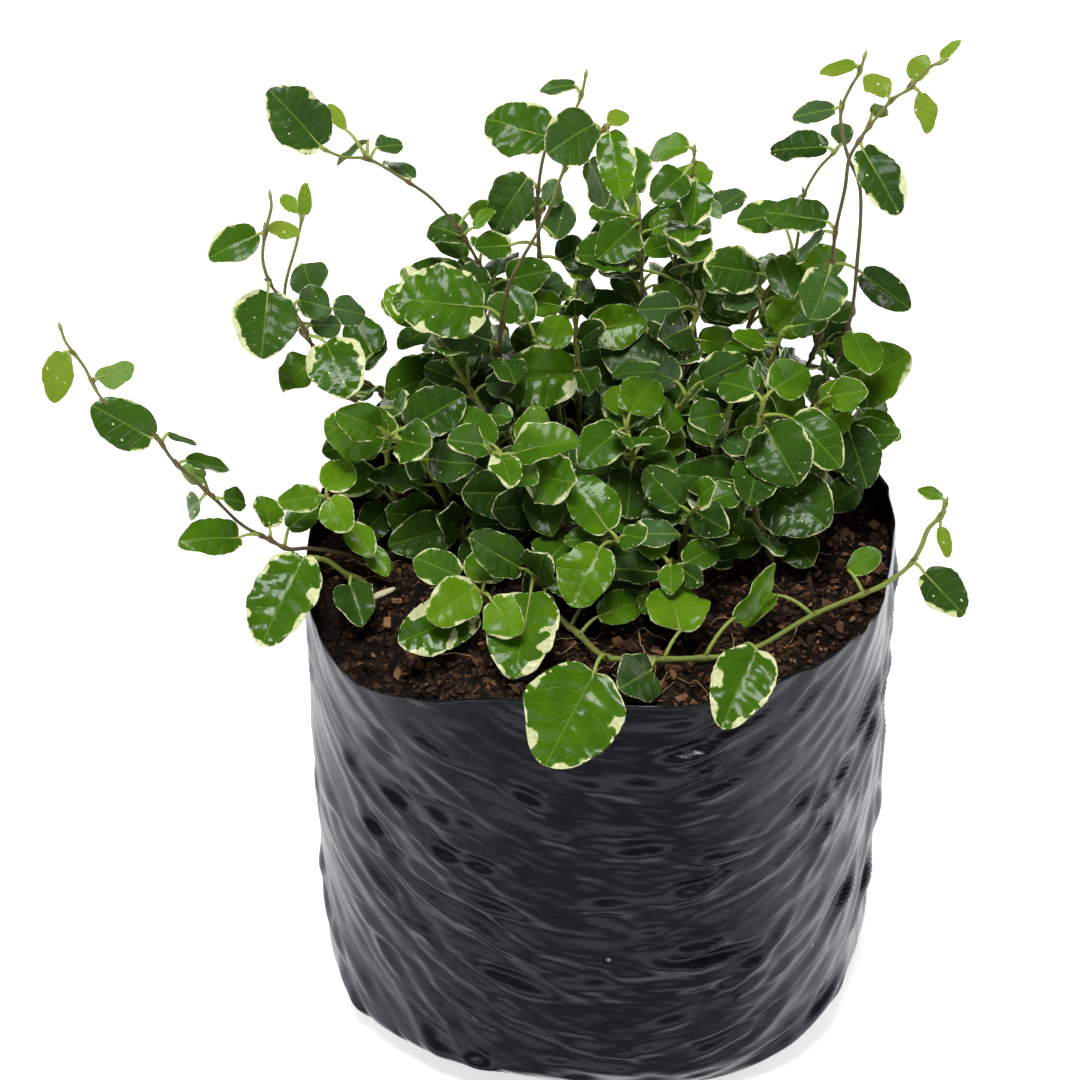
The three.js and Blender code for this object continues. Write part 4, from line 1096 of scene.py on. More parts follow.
def tube(path: Array, radii: Array, sides: int) -> tuple[Array, list[Array]]:
    """Return a closed tube: circles square to a path, its ends closed by fans.

    The circles' first direction is the cross product of the path's direction and one fixed axis, the one
    least in line with the path.

    Args:
        path: points along its middle.
        radii: its radius at each of them.
        sides: points round it.

    Returns:
        Points and faces.
    """
    along = units(np.gradient(path, axis=0))
    axes = np.array([(1, 0, 0), (0, 1, 0), (0, 0, 1), (0.7, 0.7, 0.1), (0.7, -0.7, 0.1), (0.1, 0.7, 0.7)])
    axis = axes[np.argmin(np.abs(along @ axes.T).max(axis=0))]
    side = units(np.cross(along, axis))[:, None]
    other = np.cross(along[:, None], side)
    angles = (TURN * np.arange(sides) / sides)[None, :, None]
    circle = np.cos(angles) * side + np.sin(angles) * other
    rings = path[:, None] + circle * np.asarray(radii)[:, None, None]
    return np.concatenate([rings.reshape(-1, 3), path[:1], path[-1:]]), skin_faces(len(path), sides)


class Part(Enum):
    """Parts of a shoot that share the bark's material, by the number kept on their points."""

    STEM = 0.0
    PETIOLE = 1.0
    STIPULE = 2.0


@dataclass(frozen=True)
class Blade:
    """Fine form of a blade, added to the leaf's own surface, in millimetres."""

    thickness: float = 0.36
    rim_thickness: float = 0.22
    rows_each: float = 1.15
    columns_each: float = 0.95
    fewest: tuple[int, int] = (12, 9)
    most: tuple[int, int] = (30, 19)
    crowding: float = 1.35
    draw_shift: int = 70001
    full_width: float = 15
    largest: float = 1.2
    shape_power: float = 0.88
    shape_round: float = 0.52
    tooth: float = 0.3
    tooth_spacing: float = 2.4
    wobble: float = 0.12
    wobbles: float = 4
    lobe: float = 0.055
    base_soft: float = 0.015
    lateral_slant: float = 0.6
    lateral_bend: float = 0.22
    laterals: float = 5.4
    lateral_spacing: Span = (1.8, 5.0)
    lateral_shift: float = 0.35
    lateral_stray: float = 0.5
    stray_length: float = 5
    fade_in: float = 0.8
    fade_out: float = 0.9
    quilt: float = 0.9
    quilt_level: float = 0.62
    pucker: float = 0.7
    pucker_length: float = 2.6
    groove: float = 0.35
    groove_width: float = 0.5
    ripple: float = 0.5
    ripple_length: float = 6.5
    ripple_turn: float = 0.4
    warp: float = 1.9
    warp_length: float = 7.5
    tone_scatter: float = 0.22
    scatter: Span = (0.6, 1.4)
    gloss_scatter: Span = (0.7, 1.3)

    def add_to(self, shape: Shape, leaf: Leaf) -> None:
        """Add a leaf's blade to a shape as a closed thin shell, with its looks on its points.

        The surface is the leaf's middle surface over s along and q across, plus its relief. The points keep
        their place on the flat blade, their distance to the margin, and the phase of the lateral veins.

        Args:
            shape: the shape that takes it.
            leaf: the leaf.
        """
        rows, columns = self.size(leaf)
        t = (np.arange(rows) + 0.5) / rows
        u = np.sin(np.linspace(-1, 1, columns) * self.crowding) / math.sin(self.crowding)
        s, q = np.meshgrid((1 - np.cos(math.pi * t)) / 2, u, indexing="ij")
        draw = Draw(leaf.seed + self.draw_shift)
        seed = draw() * 1000
        size = min(leaf.width / self.full_width, self.largest)
        x, y, distance = self.outline(leaf, s, q, seed, size)
        phase = self.vein_phase(leaf, s, q, x, y, seed)
        relief = self.relief(leaf, s, q, (x, y, distance, phase), seed, size)
        level = leaf.height(s, q) + relief
        skin = between((self.rim_thickness, self.thickness), 1 - q**6) / 2
        sunk = self.groove * np.exp(-((x / self.groove_width) ** 2)) * (1 - s) * size
        top = self.place(leaf, x, y, level + skin - sunk)
        under = self.place(leaf, x, y, level - skin - sunk)
        at_ends = leaf.height(np.arange(2), np.zeros(2))
        ends = self.place(leaf, np.zeros(2), np.array([0, leaf.length]), at_ends)
        flat = np.stack([x, y, np.full_like(x, seed)], axis=-1).reshape(-1, 3)
        flat_ends = np.array([(0, 0, seed), (0, leaf.length, seed)])
        edge = np.stack([distance, phase, np.zeros_like(x)], axis=-1).reshape(-1, 3)
        edge_ends = np.array([(0, phase[0, columns // 2], 0), (0, phase[-1, columns // 2], 0)])
        border = np.zeros((2, rows, columns), int)
        border[0][:, [0, -1]] = 1
        border[1][:, [0, -1]] = 2
        look = leaf.look
        tone = look.tone + self.tone_scatter * (draw() - 0.5)
        cream = look.cream * draw.within(self.scatter) * min(size, 1)
        # Amount of grey-green painted sheen, scattered leaf by leaf.
        painted_sheen = look.painted_sheen * draw.within(self.scatter)
        shape.add(
            np.concatenate([top.reshape(-1, 3), under.reshape(-1, 3), ends]), self.faces(rows, columns), 0,
            np.concatenate([border.ravel(), [0, 0]]),
            flat=np.concatenate([flat, flat, flat_ends]),
            edge=np.concatenate([edge, edge + np.array([0, 0, 1]), edge_ends]),
            look=np.array([tone, cream, look.blotch]),
            mark=np.array([painted_sheen, look.dots, look.gloss * draw.within(self.gloss_scatter)]),
        )

    def outline(self, leaf: Leaf, s: Array, q: Array, seed: float, size: float) -> tuple[Array, ...]:
        """Return places across and along the flat blade, and distances to its margin.

        The half width is W/2 sin(pi s^a)^b, wobbled by noise, with blunt teeth of |sin| form. Rows bend
        back towards two lobes at the base.

        Args:
            leaf: the leaf.
            s: places along, from 0 to 1.
            q: places across, from -1 to 1.
            seed: where its noise is read.
            size: its width by a full-sized blade's.
        """
        half = leaf.width / 2 * np.sin(math.pi * s**self.shape_power) ** self.shape_round
        noise = noise_at(3, s * self.wobbles, np.sign(q) + 5, seed)
        scallop = np.abs(np.sin(math.pi * (s * leaf.length / self.tooth_spacing + seed))) - 0.6
        teeth = self.tooth * size * scallop * np.sin(math.pi * s)
        outline = half * (1 + self.wobble * (2 * noise - 1)) + teeth
        back = self.lobe * q * q * (1 - s) ** 3 * (1 - np.exp(-s / self.base_soft))
        slope = np.gradient(half, axis=0) / np.gradient(s * leaf.length, axis=0)
        distance = (1 - np.abs(q)) * outline / np.sqrt(1 + (slope * q) ** 2)
        return q * outline, leaf.length * (s - back), distance

    def vein_phase(self, leaf: Leaf, s: Array, q: Array, x: Array, y: Array, seed: float) -> Array:
        """Return the phase of the lateral veins: whole numbers on slanting, bent lines that stray.

        Args:
            leaf: the leaf.
            s: places along, from 0 to 1.
            q: places across, from -1 to 1.
            x: places across, in millimetres.
            y: places along, in millimetres.
            seed: where its noise is read.
        """
        spacing = float(np.clip(leaf.length / self.laterals, *self.lateral_spacing))
        across = np.abs(x)
        curve = across * (1 - self.lateral_bend * across / (leaf.width / 2))
        stray = noise_at(11, x / self.stray_length, y / self.stray_length, seed) - 0.5
        phase = (s * leaf.length - self.lateral_slant * curve) / spacing
        return phase + np.where(q < 0, 0.0, self.lateral_shift) + self.lateral_stray * stray

    def relief(self, leaf: Leaf, s: Array, q: Array, flat: tuple[Array, ...], seed: float,
               size: float) -> Array:
        """Return the fine relief: bulges between the lateral veins, puckers, a rippled margin and warp.

        Args:
            leaf: the leaf.
            s: places along, from 0 to 1.
            q: places across, from -1 to 1.
            flat: places across and along, distances to the margin, and vein phases.
            seed: where its noise is read.
            size: its width by a full-sized blade's.
        """
        x, y, distance, phase = flat
        window = (1 - np.exp(-np.abs(x) / self.fade_in)) * (1 - np.exp(-distance / self.fade_out))
        bulge = self.quilt * size * (np.abs(np.sin(math.pi * phase)) ** 0.8 - self.quilt_level) * window
        lumps = noise_at(9, x / self.pucker_length, phase * 0.9, seed) - 0.5
        bulge = bulge + self.pucker * size * lumps * window
        turn = TURN * (s * leaf.length / self.ripple_length + seed + self.ripple_turn * (q > 0))
        ripple = self.ripple * size * q**4 * np.sin(turn)
        waves = noise_at(13, x / self.warp_length, y / self.warp_length, seed) - 0.5
        return bulge + ripple + self.warp * size * waves * np.sin(math.pi * s) ** 0.5

    def size(self, leaf: Leaf) -> tuple[int, int]:
        """Return the rows and the columns, odd, that suit a leaf's size."""
        rows = int(np.clip(leaf.length * self.rows_each + 4, self.fewest[0], self.most[0]))
        columns = int(np.clip(leaf.width * self.columns_each + 3, self.fewest[1], self.most[1]))
        return rows, columns + 1 - columns % 2

    @staticmethod
    def place(leaf: Leaf, x: Array, y: Array, z: Array) -> Array:
        """Return points of the leaf's frame: across, along and up from its base."""
        return leaf.base + x[..., None] * leaf.side + y[..., None] * leaf.along + z[..., None] * leaf.up

    @staticmethod
    def faces(rows: int, columns: int) -> list[Array]:
        """Return the faces of both skins, of the fans at base and tip, and of the rim between the skins.

        Args:
            rows: points along a skin.
            columns: points across a skin.
        """
        skin = grid_faces(rows, columns)
        number = np.arange(rows * columns).reshape(rows, columns)
        under = number + rows * columns
        base, tip = 2 * rows * columns, 2 * rows * columns + 1
        bases, tips = np.full(columns - 1, base), np.full(columns - 1, tip)
        row = number[0]
        last = number[-1]
        top_fans = [np.stack([bases, row[:-1], row[1:]], 1), np.stack([last[:-1], tips, last[1:]], 1)]
        under_fans = [fan[:, ::-1] + (fan[:, ::-1] < base) * rows * columns for fan in top_fans]
        right = np.stack([under[:-1, 0], under[1:, 0], number[1:, 0], number[:-1, 0]], 1)
        left = np.stack([number[:-1, -1], number[1:, -1], under[1:, -1], under[:-1, -1]], 1)
        corners = np.array([
            (base, under[0, 0], number[0, 0]), (base, number[0, -1], under[0, -1]),
            (under[-1, 0], tip, number[-1, 0]), (number[-1, -1], tip, under[-1, -1]),
        ])
        return [skin, skin[:, ::-1] + rows * columns, *top_fans, *under_fans, right, left, corners]


@dataclass(frozen=True)
class Twig:
    """Fine form of stems, petioles, buds, stipules and hairs, in millimetres."""

    step: float = 1.6
    sides: int = 8
    swell: float = 0.34
    swell_reach: float = 1.1
    petiole: Span = (0.6, 0.42)
    petiole_steps: int = 6
    arch: float = 0.12
    rib_steps: int = 4
    rib_share: float = 0.45
    bud: tuple[float, ...] = (0.55, 0.62, 0.5, 0.3, 0.08)
    bud_length: float = 2.4
    woody_slim: float = 0.68
    woody_age: Span = (1.25, 0.25)
    green_age: Span = (0.4, 0.05)
    stipule: tuple[float, ...] = (0.34, 0.42, 0.26, 0.05)
    stipule_length: Span = (1.1, 2.4)
    hair_length: Span = (0.35, 0.8)
    hair_radius: float = 0.035
    hairs_each: float = 0.8
    stipule_shift: int = 90001
    hair_shift: int = 80001

    def add_stem(self, shape: Shape, shoot: Shoot) -> None:
        """Add a shoot's stem: a tube along a smooth curve through its corners, thicker at its nodes.

        Args:
            shape: the shape that takes it.
            shoot: the shoot.
        """
        last = len(shoot.corners) - 1
        length = float(np.linalg.norm(np.diff(shoot.corners, axis=0), axis=1).sum())
        places = np.linspace(0, last, max(int(length / self.step), 6))
        path = shoot.curve(places)
        share = places / last
        radii = self.thickness(shoot, share)
        feet = np.array([leaf.place + 1 for leaf in shoot.leaves] or [0.0])
        away = np.linalg.norm(path[:, None] - shoot.curve(feet)[None], axis=-1).min(axis=1)
        radii = radii + self.swell * np.exp(-((away / self.swell_reach) ** 2)) * (share > 0.1)
        wobble = smooth_noise(path / 3, shoot.seed + 5)
        radii = radii * (0.9 + 0.2 * wobble)
        points, faces = tube(path, radii, self.sides)
        age = np.clip(between(self.woody_age if shoot.woody else self.green_age, share), 0, 1)
        ages = np.concatenate([np.repeat(age, self.sides), age[[0, -1]]])
        self.add(shape, points, faces, ages, Part.STEM, shoot.seed)
        self.add_cone(shape, path[-1], unit(path[-1] - path[-2]), self.bud_length, self.bud, 0.12, shoot.seed)

    def thickness(self, shoot: Shoot, share: Array) -> Array:
        """Return the stem's radius by the share of its length: thinner on the woody shoots."""
        slim = self.woody_slim if shoot.woody else 1.0
        return slim * between((STEM.root_radius, STEM.tip_radius), share)

    def add_petiole(self, shape: Shape, shoot: Shoot, leaf: Leaf) -> None:
        """Add a petiole: an arched tube from the stem to the blade, going on under the midrib.

        Args:
            shape: the shape that takes it.
            shoot: the shoot.
            leaf: the leaf.
        """
        foot = shoot.curve(np.array([leaf.place + 1]))[0]
        reach = leaf.base - foot
        t = np.linspace(0, 1, self.petiole_steps)
        arch = 4 * t * (1 - t) * self.arch * np.linalg.norm(reach)
        path = foot + t[:, None] * reach + arch[:, None] * UP
        s = np.linspace(0.06, self.rib_share, self.rib_steps)
        rib = leaf.points(s, np.zeros_like(s)) - 0.3 * leaf.up
        radii = np.concatenate([
            between(self.petiole, t), between((0.26, 0.1), np.linspace(0, 1, self.rib_steps)),
        ])
        points, faces = tube(np.concatenate([path, rib]), radii, 6)
        self.add(shape, points, faces, 0.25 * leaf.look.tone, Part.PETIOLE, leaf.seed)

    def add_stipules(self, shape: Shape, shoot: Shoot, leaf: Leaf) -> None:
        """Add two small dry stipules beside a leaf's foot, pointing up the stem.

        Args:
            shape: the shape that takes it.
            shoot: the shoot.
            leaf: the leaf.
        """
        places = np.array([leaf.place + 1, leaf.place + 1.2])
        foot, onward = shoot.curve(np.minimum(places, len(shoot.corners) - 1))
        along = onward - foot
        if np.linalg.norm(along) < 0.05:
            return
        draw = Draw(leaf.seed + self.stipule_shift)
        along = unit(along)
        side = unit(np.cross(along, leaf.base - foot + 0.01 * UP))
        for sign in (-1, 1):
            lean = unit(along + side * sign * (0.15 + 0.3 * draw()) + 0.25 * unit(leaf.base - foot))
            length = draw.within(self.stipule_length)
            self.add_cone(shape, foot + side * sign * 0.5, lean, length, self.stipule, 0.9, leaf.seed)

    def add_hairs(self, shape: Shape, shoot: Shoot) -> None:
        """Add short stiff hairs round the young part of a stem, each a thin three-sided spike.

        Args:
            shape: the shape that takes it.
            shoot: the shoot.
        """
        last = len(shoot.corners) - 1
        draw = Draw(shoot.seed + self.hair_shift)
        count = int(self.hairs_each * len(shoot.points))
        numbers = np.array([[draw() for _ in range(4)] for _ in range(count)])
        places = (0.35 + 0.65 * numbers[:, 0]) * last
        path = shoot.curve(places)
        onward = shoot.curve(np.minimum(places + 0.05, last))
        along = units(onward - shoot.curve(np.maximum(places - 0.05, 0)))
        side = units(np.cross(along, np.array([0.36, 0.48, 0.8])))
        other = np.cross(along, side)
        angles = TURN * numbers[:, 1:2]
        out = np.cos(angles) * side + np.sin(angles) * other
        radius = self.thickness(shoot, places / last)[:, None]
        foot = path + out * (radius - 0.15)
        tip = foot + (out + 0.4 * along) * between(self.hair_length, numbers[:, 2:3])
        turn = np.cross(out, along)
        ring = [foot + self.hair_radius * (math.cos(a) * along + math.sin(a) * turn) for a in (0, 2.1, 4.2)]
        points = np.concatenate([*ring, tip])
        n = np.arange(count)
        corners = (0, 1, 3), (1, 2, 3), (2, 0, 3), (2, 1, 0)
        faces = [np.stack([n + corner * count for corner in face], 1) for face in corners]
        self.add(shape, points, faces, 0.1, Part.STIPULE, shoot.seed)

    def add_cone(self, shape: Shape, foot: Array, along: Array, length: float, radii: tuple[float, ...],
                 age: float, seed: int) -> None:
        """Add a small pointed body: circles of given radii along a straight line."""
        steps = np.linspace(0, length, len(radii))[:, None]
        points, faces = tube(foot + steps * along, np.array(radii), 5)
        self.add(shape, points, faces, age, Part.STIPULE, seed)

    @staticmethod
    def add(shape: Shape, points: Array, faces: list[Array], age: Array | float, part: Part,
            seed: int) -> None:
        """Add a part in the bark's material, with its age from 0, young, to 1, old."""
        look = np.zeros((len(points), 3))
        look[:, 0] = age
        look[:, 1] = part.value
        look[:, 2] = seed % 97 / 97
        shape.add(points, faces, 1, None, flat=points, edge=np.zeros(3), look=look, mark=np.zeros(3))


@dataclass(frozen=True)
class Crease:
    """A crease of the film: its middle and direction on the wall, its size, and its depth by length."""

    theta: float
    z: float
    slant: float
    length: float
    width: float
    slope: float


@dataclass
class FilmBag:
    """The open bag of thin black film, creased all over.

    A set of creases is: how many, range of heights, scatter of direction, ranges of length and width, and
    depth by length. A layer of dents is: size along the swags, size across them, and depth.
    """

    form: BagForm = BAG
    film: float = 0.4
    columns: int = 500
    rows: int = 150
    crowding: float = 1.15
    floor_height: float = 1.0
    seen_down_to: float = 0.82
    hidden_inset: float = 3.3
    swag: float = 0.85
    sway: Spot = (46.0, 15.0, 1.6)
    dents: tuple = ((21.0, 6.5, 0.9), (12.0, 3.6, 0.85), (8.0, 2.2, 0.4))
    skew: Span = (0.37, -0.29)
    flank_calm: float = 0.55
    calm_base: float = 6
    calm_rim: float = 0.55
    hem: Spot = (1.5, 3.0, 2.2)
    crease_seed: int = 404
    creases: tuple = (480, (4, 150), 0.6, (9, 34), (1.3, 2.3), 0.038)
    long_creases: tuple = (22, (10, 140), 0.8, (55, 120), (1.4, 2.6), 0.0095)
    lip_depth: float = 3.4
    lip_height: float = 9
    lip_spread: float = 4.5
    lip_place: Span = (math.radians(236), 0.42)
    rim_ragged: float = 0.9
    corner: Spot = (5.0, math.radians(214), 0.33)
    list_of_creases: list[Crease] = field(default_factory=list)

    def __post_init__(self) -> None:
        """Draw the creases: along swags that hang between the sides, level at the front."""
        draw = Draw(self.crease_seed)
        for count, heights, scatter, lengths, widths, slope in (self.creases, self.long_creases):
            for _ in range(count):
                theta = TURN * draw()
                swag = math.atan(self.swag * math.sin(theta + math.pi / 2))
                self.list_of_creases.append(Crease(
                    theta, draw.within(heights), swag + scatter * (draw() - 0.5),
                    draw.within(lengths), draw.within(widths), slope,
                ))

    def relief(self, theta: Array, z: Array) -> Array:
        """Return how far the film stands out: a slow sway, dents stretched along the swags, and creases.

        The swags are the lines on which z + R k cos(angle from the front) is constant. A dent is where
        noise rises over a threshold, with smooth sides, and a crease is a bell across its line with a
        trough beside it, faded along it by a squared cosine.

        Args:
            theta: angles round the bag.
            z: heights.
        """
        radius = self.form.mid_radius
        front = theta + math.pi / 2
        swag = z + radius * self.swag * np.cos(front)
        shown = 1 - self.flank_calm * np.abs(np.sin(front))
        total = np.zeros_like(theta)
        for i, (long, across, depth) in enumerate((self.sway, *self.dents)):
            x = radius * np.cos(theta) / long + self.skew[0] * swag / across
            y = radius * np.sin(theta) / long + self.skew[1] * swag / across
            noise = noise_at(20 + i, x, y, swag / across)
            dent = np.clip((noise - 0.45) / 0.45, 0, 1)
            total += depth * (noise - 0.5 if i == 0 else -shown * dent * dent * (3 - 2 * dent))
        for crease in self.list_of_creases:
            turn = np.arctan2(np.sin(theta - crease.theta), np.cos(theta - crease.theta))
            u = turn * radius
            cos, sin = math.cos(crease.slant), math.sin(crease.slant)
            along = (u * cos + (z - crease.z) * sin) / crease.length
            bend = 0.12 * crease.length * along * along
            across = (-u * sin + (z - crease.z) * cos - bend) / crease.width
            fade = np.cos(np.clip(along, -0.5, 0.5) * math.pi) ** 2
            ridge = np.exp(-(across**2)) - 0.8 * np.exp(-((across - 1.4) ** 2))
            total += crease.slope * crease.length * fade * ridge
        return total

    def surface(self, theta: Array, z: Array, inset: Array | float = 0.0) -> Array:
        """Return points of the film: the bag's radius with folds and relief, calm at the base and the rim.

        Args:
            theta: angles round the bag.
            z: heights.
            inset: how far a skin lies within the outer one.
        """
        v = z / self.form.rim_height(theta)
        calm = np.clip(z / self.calm_base, 0, 1) * (1 - self.calm_rim * np.clip((v - 0.9) / 0.1, 0, 1))
        lip = self.lip_depth * np.exp(-(((z - self.lip_height) / self.lip_spread) ** 2))
        lip = lip * bell(theta, *self.lip_place)
        bulge, height, spread = self.hem
        uneven = noise_at(33, np.cos(theta) * 5, np.sin(theta) * 5, 0.5)
        lip = lip + bulge * uneven * np.exp(-(((z - height) / spread) ** 2))
        radius = self.form.radius(theta, z) + self.form.folds(theta, z) - 0.35
        radius = radius + self.relief(theta, z) * calm + lip - inset
        return np.stack([radius * np.cos(theta), radius * np.sin(theta), z], axis=-1)

    def rim(self, theta: Array) -> Array:
        """Return the height of the slightly ragged rim."""
        x, y = np.cos(theta), np.sin(theta)
        ragged = noise_at(31, x * 9, y * 9, 0.0) + 0.35 * noise_at(32, x * 34, y * 34, 1.0) - 0.67
        rise, middle, spread = self.corner
        return self.form.rim_height(theta) + self.rim_ragged * ragged + rise * bell(theta, middle, spread)

    def build(self, material: bpy.types.Material) -> bpy.types.Object:
        """Return the bag, one closed shell: outer skin, inner skin a film's thickness within, and floor.

        Args:
            material: its finish.
        """
        theta = TURN * np.arange(self.columns) / self.columns
        share = np.linspace(0, 1, self.rows) ** self.crowding
        theta_grid, share_grid = np.meshgrid(theta, share, indexing="xy")
        outer = self.surface(theta_grid, share_grid * self.rim(theta_grid))
        down = np.concatenate([np.linspace(1, self.seen_down_to, 12), (0.8, 0.6, 0.4, 0.2, 0.1, 0.04)])
        theta_in, share_in = np.meshgrid(theta, down, indexing="xy")
        heights = self.floor_height + share_in * (self.rim(theta_in) - self.floor_height)
        inset = np.where(share_in < self.seen_down_to - 0.01, self.hidden_inset, self.film)
        inner = self.surface(theta_in, heights, inset)
        rings = np.array([0.93, 0.8, 0.5, 0.2])
        base = outer[0] * rings[::-1, None, None]
        wrinkle = smooth_noise(base / 9, 41)
        base[..., 2] = 0
        floor = inner[-1] * rings[:, None, None]
        floor[..., 2] = self.floor_height + 0.3 * wrinkle[::-1]
        rows = np.concatenate([base, outer, inner, floor])
        shape = Shape("film_bag")
        shape.add_skin(rows, (0, 0, 0), (0, 0, self.floor_height))
        return shape.build([material])


@dataclass
class PottingSoil:
    """The crumbly soil with its chips and fibres."""

    bag: FilmBag
    columns: int = 480
    rings: int = 120
    clear: float = 0.25
    slack: float = 3.9
    swell: Span = (16.0, 2.2)
    clod_layers: tuple = ((6.5, 2.6), (3.6, 1.7), (2.1, 1.0))
    strewn_radius: float = 78.5
    chips: int = 4200
    chip_size: Span = (0.8, 2.6)
    big_chips: int = 620
    big_size: Span = (2.4, 5.4)
    fibres: int = 90
    fibre_length: Span = (7, 24)
    fan_place: Spot = (10.0, -72.0, 0.0)
    fan_angles: tuple[int, ...] = (8, 38, 62, 84, 118, 150)
    fan_length: float = 11
    husk_ends: tuple = ((-66.0, -29.6, 7.0), (-57.6, -25.0, 8.2))
    husk_width: float = 2.3

    def crumbs(self, x: Array, y: Array) -> Array:
        """Return the height of the crumbs over the smooth soil: a slow swell and layers of round clods."""
        size, depth = self.swell
        total = depth * (noise_at(50, x / size, y / size, 0.5) - 0.5)
        for i, (size, depth) in enumerate(self.clod_layers):
            total += depth * (self.clods(x / size, y / size, 51 + i) - 0.5)
        return total

    @staticmethod
    def clods(x: Array, y: Array, seed: int) -> Array:
        """Return the height, from 0 to 1, of half-sunk round clods, one in each unit cell."""
        best = np.zeros_like(x)
        for corner in product((-1, 0, 1), repeat=2):
            left, front = np.floor(x) + corner[0], np.floor(y) + corner[1]
            right, ahead, size = (noise_at(seed + 100 * n, left, front, 0.0) for n in range(1, 4))
            away = np.hypot(x - left - right, y - front - ahead) / (0.4 + 0.45 * size)
            best = np.maximum(best, (0.45 + 0.55 * size) * np.sqrt(np.clip(1 - away * away, 0, 1)))
        return best

    def top(self, x: Array, y: Array) -> Array:
        """Return the height of the soil's crumbly top."""
        return BAG.soil_height(x, y) + self.crumbs(x, y)

    def build(self, material: bpy.types.Material) -> bpy.types.Object:
        """Return the soil: a crumbly top, sides inside the film and a flat underside.

        Args:
            material: its finish.
        """
        theta = TURN * np.arange(self.columns) / self.columns
        inset = self.bag.film + self.clear
        levels = (self.bag.floor_height + 0.8, 6, 15, 40, 70, 100)
        sides = [self.bag.surface(theta, np.full_like(theta, level), self.slack) for level in levels]
        sides.append(self.bag.surface(theta, BAG.soil_edge(theta) - 4, inset + 1.5))
        edge = self.bag.surface(theta, BAG.soil_edge(theta), inset)
        shares = np.linspace(1, 0.02, self.rings) ** 0.8
        rows = edge[None] * shares[:, None, None]
        rows[..., 2] = self.top(rows[..., 0], rows[..., 1])
        bottom = sides[0] * np.array([0.4, 0.9])[:, None, None]
        bottom[..., 2] = levels[0]
        grid = np.concatenate([bottom, np.array(sides), rows])
        shape = Shape("soil_fill")
        shape.add_skin(grid, (0, 0, levels[0]), (0, 0, float(rows[-1, :, 2].mean())))
        return shape.build([material])

    def places(self, draw: Draw, count: int) -> Array:
        """Return places strewn over the top: x, y and the soil's height, shape (count, 3)."""
        numbers = np.array([[draw(), draw()] for _ in range(count)])
        angle = TURN * numbers[:, 0]
        radius = self.strewn_radius * np.sqrt(numbers[:, 1])
        x, y = radius * np.cos(angle), radius * np.sin(angle)
        return np.stack([x, y, self.top(x, y)], axis=1)

    def build_chips(self, material: bpy.types.Material) -> bpy.types.Object:
        """Return chips of bark and clods: twelve-faced lumps, squashed, skewed and turned at random.

        Args:
            material: their finish.
        """
        draw = Draw(77)
        shape = Shape("soil_chips", ("look",))
        corners = np.array([
            (1, 0, 0.2), (0.4, 0.9, -0.1), (-0.7, 0.7, 0.2), (-0.8, -0.5, -0.2),
            (0.3, -0.9, 0.1), (0.1, 0, 1), (-0.1, 0.1, -1), (0.6, 0.2, 0.8),
        ])
        faces = np.array([
            (0, 1, 7), (1, 5, 7), (1, 2, 5), (2, 3, 5), (3, 4, 5), (4, 7, 5), (4, 0, 7),
            (1, 0, 6), (2, 1, 6), (3, 2, 6), (4, 3, 6), (0, 4, 6),
        ])
        for count, limits in ((self.chips, self.chip_size), (self.big_chips, self.big_size)):
            for place in self.places(draw, count):
                size = draw.within(limits) / 2
                scale = size * np.array([1, 0.45 + 0.45 * draw(), 0.3 + 0.4 * draw()])
                jitter = np.array([[draw(), draw(), draw()] for _ in range(8)]) - 0.5
                axis = unit(np.array([draw() - 0.5, draw() - 0.5, 0.25 + draw()]))
                spun = (corners + 0.6 * jitter) * scale
                tipped = [rotated(point, axis, TURN * jitter[0, 0]) for point in spun]
                turned = np.array([rotated(point, UP, 9 * jitter[1, 1]) for point in tipped])
                tint = np.array([draw(), draw(), 1.0 if limits == self.big_size else 0.0])
                shape.add(turned + place + np.array([0, 0, scale[2] * 0.5]), [faces], look=tint)
        return shape.build([material], flat=True)

    def build_fibres(self, material: bpy.types.Material) -> bpy.types.Object:
        """Return thin dry fibres that lie over the soil: tubes along slightly bent lines.

        Args:
            material: their finish.
        """
        draw = Draw(88)
        shape = Shape("soil_fibres", ("look",))
        for place in self.places(draw, self.fibres):
            angle, length, bend = TURN * draw(), draw.within(self.fibre_length), draw() - 0.5
            t = np.linspace(-0.5, 0.5, 9)
            across = bend * length * (t * t - 0.08)
            x = place[0] * 0.93 + length * t * math.cos(angle) - across * math.sin(angle)
            y = place[1] * 0.93 + length * t * math.sin(angle) + across * math.cos(angle)
            away = np.minimum(76 / np.maximum(np.hypot(x, y), 1), 1)
            x, y = x * away, y * away
            z = self.top(x, y) + 0.5 + 1.6 * draw() * np.cos(math.pi * t)
            radii = (0.08 + 0.12 * draw()) * (1 - 1.2 * t * t)
            points, faces = tube(np.stack([x, y, z], axis=1), radii, 5)
            shape.add(points, faces, look=np.array([0.5 + 0.5 * draw(), draw(), 2.0]))
        self.add_fan(shape)
        self.add_husk(shape)
        return shape.build([material])

    def add_fan(self, shape: Shape) -> None:
        """Add a small fan of straight fibres that stand up from one place at the front."""
        place = np.array(self.fan_place)
        foot = np.array([place[0], place[1], float(self.top(place[0], place[1])) - 0.5])
        for i, degrees in enumerate(self.fan_angles):
            turn = math.radians(degrees)
            lean = unit(np.array([math.cos(turn), 0.45, 0.9 * math.sin(turn) + 0.15]))
            t = np.linspace(0, 1, 6)[:, None]
            path = foot + self.fan_length * (0.7 + 0.1 * i) * t * (lean - 0.12 * t * UP)
            points, faces = tube(path, between((0.16, 0.07), t[:, 0]), 5)
            shape.add(points, faces, look=np.array([1.0, 1.0, 2.0]))

